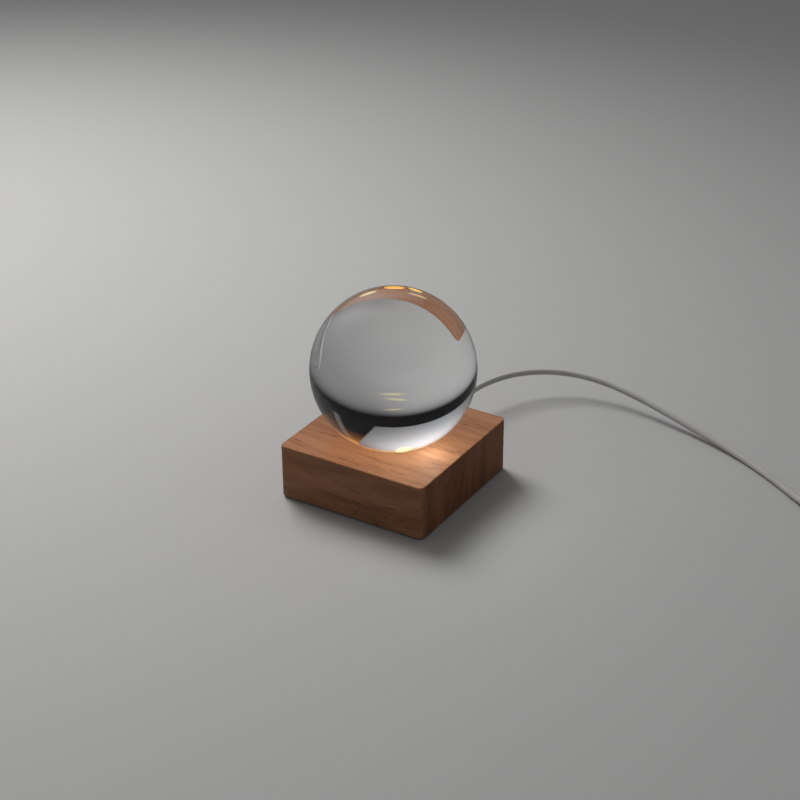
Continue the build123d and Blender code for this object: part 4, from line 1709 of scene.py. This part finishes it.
@dataclass
class UsbPlug(SubAssembly):
    """The plug on the lead's end, with its moulded grip ribs."""

    along: float = 0.0544
    left: float = 0.0019
    tail_length: float = 0.009
    tail_first: float = 0.0022
    tail_last: float = 0.0034
    half_width: float = 0.008
    height: float = 0.008
    corner: float = 0.0022
    ribs: int = 5
    rib_start: float = 0.0135
    rib_pitch: float = 0.0019
    rib_radius: float = 0.0005
    rib_sink: float = 0.00022
    rib_feet: Span = (0.0017, 0.0032)
    rib_foot_share: float = 0.35
    rib_sides: int = 12
    rings: int = 4
    ring_start: float = 0.0012
    ring_pitch: float = 0.0019
    ring_shape: tuple[Span, ...] = (
        (-0.0003, -0.0006),
        (0.00012, -0.00045),
        (0.00022, 0.0),
        (0.00012, 0.00045),
        (-0.0003, 0.0006),
    )
    ring_sides: int = 36
    edge_from: float = math.radians(60.0)

    def build(self) -> list[bpy.types.Object]:
        """Dress the plug and raise its ribs.

        Returns:
            The pieces that the lead carries.
        """
        kept = self.dress({
            "plug_grip": PLUG_VINYL,
            "plug_shell": PLUG_STEEL,
            "plug_insulator": TONGUE_PLASTIC,
            "plug_contacts": CONTACT_GOLD,
        })
        return [self.build_ribs(), *kept]

    def rib_line(self) -> list[EdgePoint]:
        """Give a rib's line over the grip: up one side, across the top and down the other.

        Returns:
            Place across, height, and the two parts of the outward direction.
        """
        reach, high = self.half_width - self.corner, self.height - self.corner
        line = [(-self.half_width, up, -1.0, 0.0) for up in self.rib_feet]
        line += corner_points(-reach, high, self.corner, 180.0)
        line += corner_points(reach, high, self.corner, 90.0)
        return line + [(self.half_width, up, 1.0, 0.0) for up in reversed(self.rib_feet)]

    def build_ribs(self) -> bpy.types.Object:
        """Raise the ribs on the grip and the rings on its tail.

        Returns:
            The ribs and rings.
        """
        draft = MeshDraft()
        turns = [2.0 * math.pi * k / self.rib_sides for k in range(self.rib_sides)]
        line = self.rib_line()
        for rib in range(self.ribs):
            x = self.rib_start + rib * self.rib_pitch
            rows = []
            for place, (across, up, out_across, out_up) in enumerate(line):
                radius = self.rib_radius * (self.rib_foot_share if place in (0, len(line) - 1) else 1.0)
                row = []
                for turn in turns:
                    out = radius * math.sin(turn) - self.rib_sink
                    row.append((x + radius * math.cos(turn), across + out * out_across, up + out * out_up))
                rows.append(row)
            draft.loft(rows)
        axis = Matrix.Translation((0.0, 0.0, PLUG_AXIS)) @ Matrix.Rotation(QUARTER_TURN, 4, "Y")
        for ring in range(self.rings):
            x = self.ring_start + ring * self.ring_pitch
            skin = self.tail_first + (self.tail_last - self.tail_first) * x / self.tail_length
            section = [(skin + out, x + aside) for out, aside in self.ring_shape]
            draft.lathe(section, self.ring_sides, axis, joined=True)
        piece = draft.piece("plug_ribs", self.edge_from)
        piece.matrix_world = lead_axes(SWITCH_END) @ Matrix.Translation((self.along, self.left, 0.0))
        return self.add(piece, PLUG_VINYL, "plug_vinyl")


def hang_lamp(name: str, light: bpy.types.Light, place: Point) -> bpy.types.Object:
    """Hang a lamp that neither gloss nor glass shows.

    Args:
        name: The lamp's name.
        light: Its light.
        place: Where it hangs.

    Returns:
        The lamp, in the scene.
    """
    lamp = in_scene(name, light)
    lamp.location = place
    lamp.visible_glossy = False
    lamp.visible_transmission = False
    return lamp


@dataclass(frozen=True)
class SoftLamp:
    """A square of soft light that faces a point."""

    name: str
    place: Point
    aim: Point
    width: float
    height: float
    radiance: float
    spread: float = math.pi

    def build(self) -> bpy.types.Object:
        """Hang the lamp.

        Returns:
            The lamp.
        """
        light = bpy.data.lights.new(self.name, "AREA")
        light.shape = "RECTANGLE"
        light.size = self.width
        light.size_y = self.height
        light.energy = self.radiance * math.pi * self.width * self.height
        light.spread = self.spread
        lamp = hang_lamp(self.name, light, self.place)
        towards = Vector(self.aim) - Vector(self.place)
        lamp.rotation_euler = towards.to_track_quat("-Z", "Y").to_euler()
        return lamp


@dataclass(frozen=True)
class BallGlow:
    """Light that leaves the glass and falls on the wood."""

    name: str
    place: Point
    power: float
    radius: float
    colour: Colour

    def build(self) -> bpy.types.Object:
        """Set the light inside the ball.

        Returns:
            The lamp.
        """
        light = bpy.data.lights.new(self.name, "POINT")
        light.energy = self.power
        light.color = self.colour
        light.shadow_soft_size = self.radius
        lamp = hang_lamp(self.name, light, self.place)
        lamp.visible_camera = False
        return lamp


@dataclass(frozen=True)
class GlintSpot:
    """One painted glint near the wood, by its place round the ball and its half sizes."""

    reach: float
    turn: float
    half_out: float
    half_round: float
    finish: LedGlint


@dataclass(frozen=True)
class GhostStreak:
    """One painted reflection streak on the floor behind the ball, by its place, heading and half sizes."""

    place: tuple[float, float]
    heading: float
    half_long: float
    half_wide: float


@dataclass
class Studio:
    """The floor, the light round it and the camera."""

    eye: Point = (0.426628, -0.679550, 0.477695)
    right: Point = (0.85074, 0.52554, -0.00644)
    up: Point = (-0.24435, 0.40634, 0.88044)
    forward: Point = (-0.46532, 0.74746, -0.47411)
    focal_pixels: float = 1899.39
    frame_pixels: float = 800.0
    sensor: float = 36.0
    clip: Span = (0.02, 20.0)
    floor_radius: float = 1.45
    floor_rings: tuple[float, ...] = (0.02, 0.25, 0.6, 1.0)
    floor_sides: int = 96
    room: SoftRoom = SoftRoom()
    key: SoftLamp = SoftLamp(
        "key_lamp", (-0.64, 0.26, 0.72), (-0.20, -0.31, 0.0), 0.5, 0.5, 6.35, math.radians(128.0)
    )
    back: SoftLamp = SoftLamp("back_panel", (-0.80, 1.30, 0.78), (0.0, 0.0, 0.06), 1.7, 1.0, 0.4)
    glows: tuple[BallGlow, ...] = (
        BallGlow("window_focus", (0.0275, -0.0098, 0.0375), 0.0100, 0.003, (0.86, 1.0, 0.98)),
        BallGlow("window_spill", (0.0260, -0.0180, 0.0520), 0.0130, 0.006, (0.90, 1.0, 1.0)),
        BallGlow("led_glow", (0.0, 0.0, 0.050), 0.0035, 0.010, (1.0, 0.74, 0.45)),
    )
    glint_height: float = 0.0287
    glint_turns: int = 6
    glints: tuple[GlintSpot, ...] = (
        GlintSpot(0.0342, 122.6, 0.0030, 0.0018, ORANGE_GLINT),
        GlintSpot(0.0340, 129.0, 0.0024, 0.0013, YELLOW_GLINT),
        GlintSpot(0.0384, 116.2, 0.0015, 0.0015, PALE_GLINT),
        GlintSpot(0.0412, 127.4, 0.0009, 0.0016, FAINT_GLINT),
    )
    ghost_height: float = 0.0006
    ghosts: tuple[GhostStreak, ...] = (
        GhostStreak((-0.088, 0.1415), 32.7, 0.0170, 0.0065),
        GhostStreak((-0.103, 0.1580), 0.0, 0.0210, 0.0080),
        GhostStreak((-0.147, 0.2360), 54.9, 0.0300, 0.0160),
    )
    disc_rings: tuple[float, ...] = (0.5, 1.0)
    disc_sides: int = 24

    def build(self) -> None:
        """Lay the floor and set the light and the camera."""
        scene = bpy.context.scene
        self.build_floor()
        self.build_glints()
        apart = self.ball_apart()
        for lamp in (self.key.build(), self.back.build()):
            lamp.light_linking.receiver_collection = apart
            lamp.light_linking.blocker_collection = apart
        for glow in self.glows:
            glow.build().light_linking.blocker_collection = apart
        scene.world = self.room.build()
        self.build_camera()
        scene.view_settings.view_transform = "Standard"

    def ball_apart(self) -> bpy.types.Collection:
        """Make the light group that leaves the ball out.

        Returns:
            The group.
        """
        apart = bpy.data.collections.new("all_but_the_ball")
        apart.objects.link(bpy.data.objects["polished_ball"])
        apart.collection_objects[0].light_linking.link_state = "EXCLUDE"
        return apart

    def build_floor(self) -> None:
        """Lay a plain round floor."""
        draft = MeshDraft()
        rings = [self.floor_radius * share for share in self.floor_rings]
        self.lay_disc(draft, Matrix.Identity(4), rings, self.floor_sides)
        floor = draft.piece("table_top")
        floor.data.materials.append(PALE_FLOOR.material())

    def build_glints(self) -> None:
        """Lay painted glints of the LEDs round the ball and painted reflection streaks behind it, where
        only a look through the glass shows them.
        """
        for number, spot in enumerate(self.glints):
            draft = MeshDraft()
            for turn in range(self.glint_turns):
                angle = math.radians(spot.turn + 360.0 * turn / self.glint_turns)
                out = Matrix.Translation((spot.reach, 0.0, self.glint_height))
                oval = Matrix.Diagonal((spot.half_out, spot.half_round, 1.0, 1.0))
                place = Matrix.Rotation(angle, 4, "Z") @ out @ oval
                self.lay_disc(draft, place, self.disc_rings, self.disc_sides)
            self.hide(draft.piece(f"led_glint_{number}"), spot.finish)
        for number, streak in enumerate(self.ghosts):
            draft = MeshDraft()
            self.lay_disc(draft, Matrix.Identity(4), self.disc_rings, self.disc_sides)
            ghost = draft.piece(f"led_ghost_{number}")
            turned = Matrix.Rotation(math.radians(streak.heading), 4, "Z")
            oval = Matrix.Diagonal((streak.half_long, streak.half_wide, 1.0, 1.0))
            ghost.matrix_world = Matrix.Translation((*streak.place, self.ghost_height)) @ turned @ oval
            self.hide(ghost, GHOST_LIGHT)

    def lay_disc(self, draft: MeshDraft, place: Matrix, rings: Sequence[float], sides: int) -> None:
        """Lay a flat disc, as its place stretches it.

        Args:
            draft: The mesh that it joins.
            place: Where it goes.
            rings: The radii of its rings.
            sides: How many sides it has.
        """
        laid = draft.lathe([(radius, 0.0) for radius in rings], sides, place, capped=False)
        draft.bm.faces.new(laid[0])

    def hide(self, light: bpy.types.Object, finish: Finish) -> None:
        """Give a spot of light its finish, and show it to looks through glass alone.

        Args:
            light: The spot.
            finish: Its finish.
        """
        light.data.materials.append(finish.material())
        light.visible_camera = False
        light.visible_diffuse = False
        light.visible_glossy = False
        light.visible_shadow = False

    def build_camera(self) -> None:
        """Set the camera where the photograph was taken from."""
        camera = bpy.data.cameras.new("photo_camera")
        camera.sensor_width = self.sensor
        camera.lens = self.focal_pixels * self.sensor / self.frame_pixels
        camera.clip_start, camera.clip_end = self.clip
        stand = in_scene("photo_camera", camera)
        axes = Matrix((self.right, self.up, -Vector(self.forward))).transposed().to_4x4()
        stand.matrix_world = Matrix.Translation(self.eye) @ axes
        bpy.context.scene.camera = stand


def main() -> None:
    """Load the frame, build the lamp round it and set the studio."""
    logging.basicConfig(level=logging.INFO, format="%(name)s: %(message)s")
    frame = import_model()
    nodes = frame["nodes"]
    switch_pieces = InlineSwitch(nodes).build()
    LeadRun(nodes).build(switch_pieces)
    plug_pieces = UsbPlug(nodes).build()
    StoredLead(nodes).build(plug_pieces)
    GlassBall(nodes).build()
    WoodBlock(nodes).build()
    LightEngine(nodes).build()
    Underside(nodes).build()
    Studio().build()


if __name__ == "__main__":
    main()
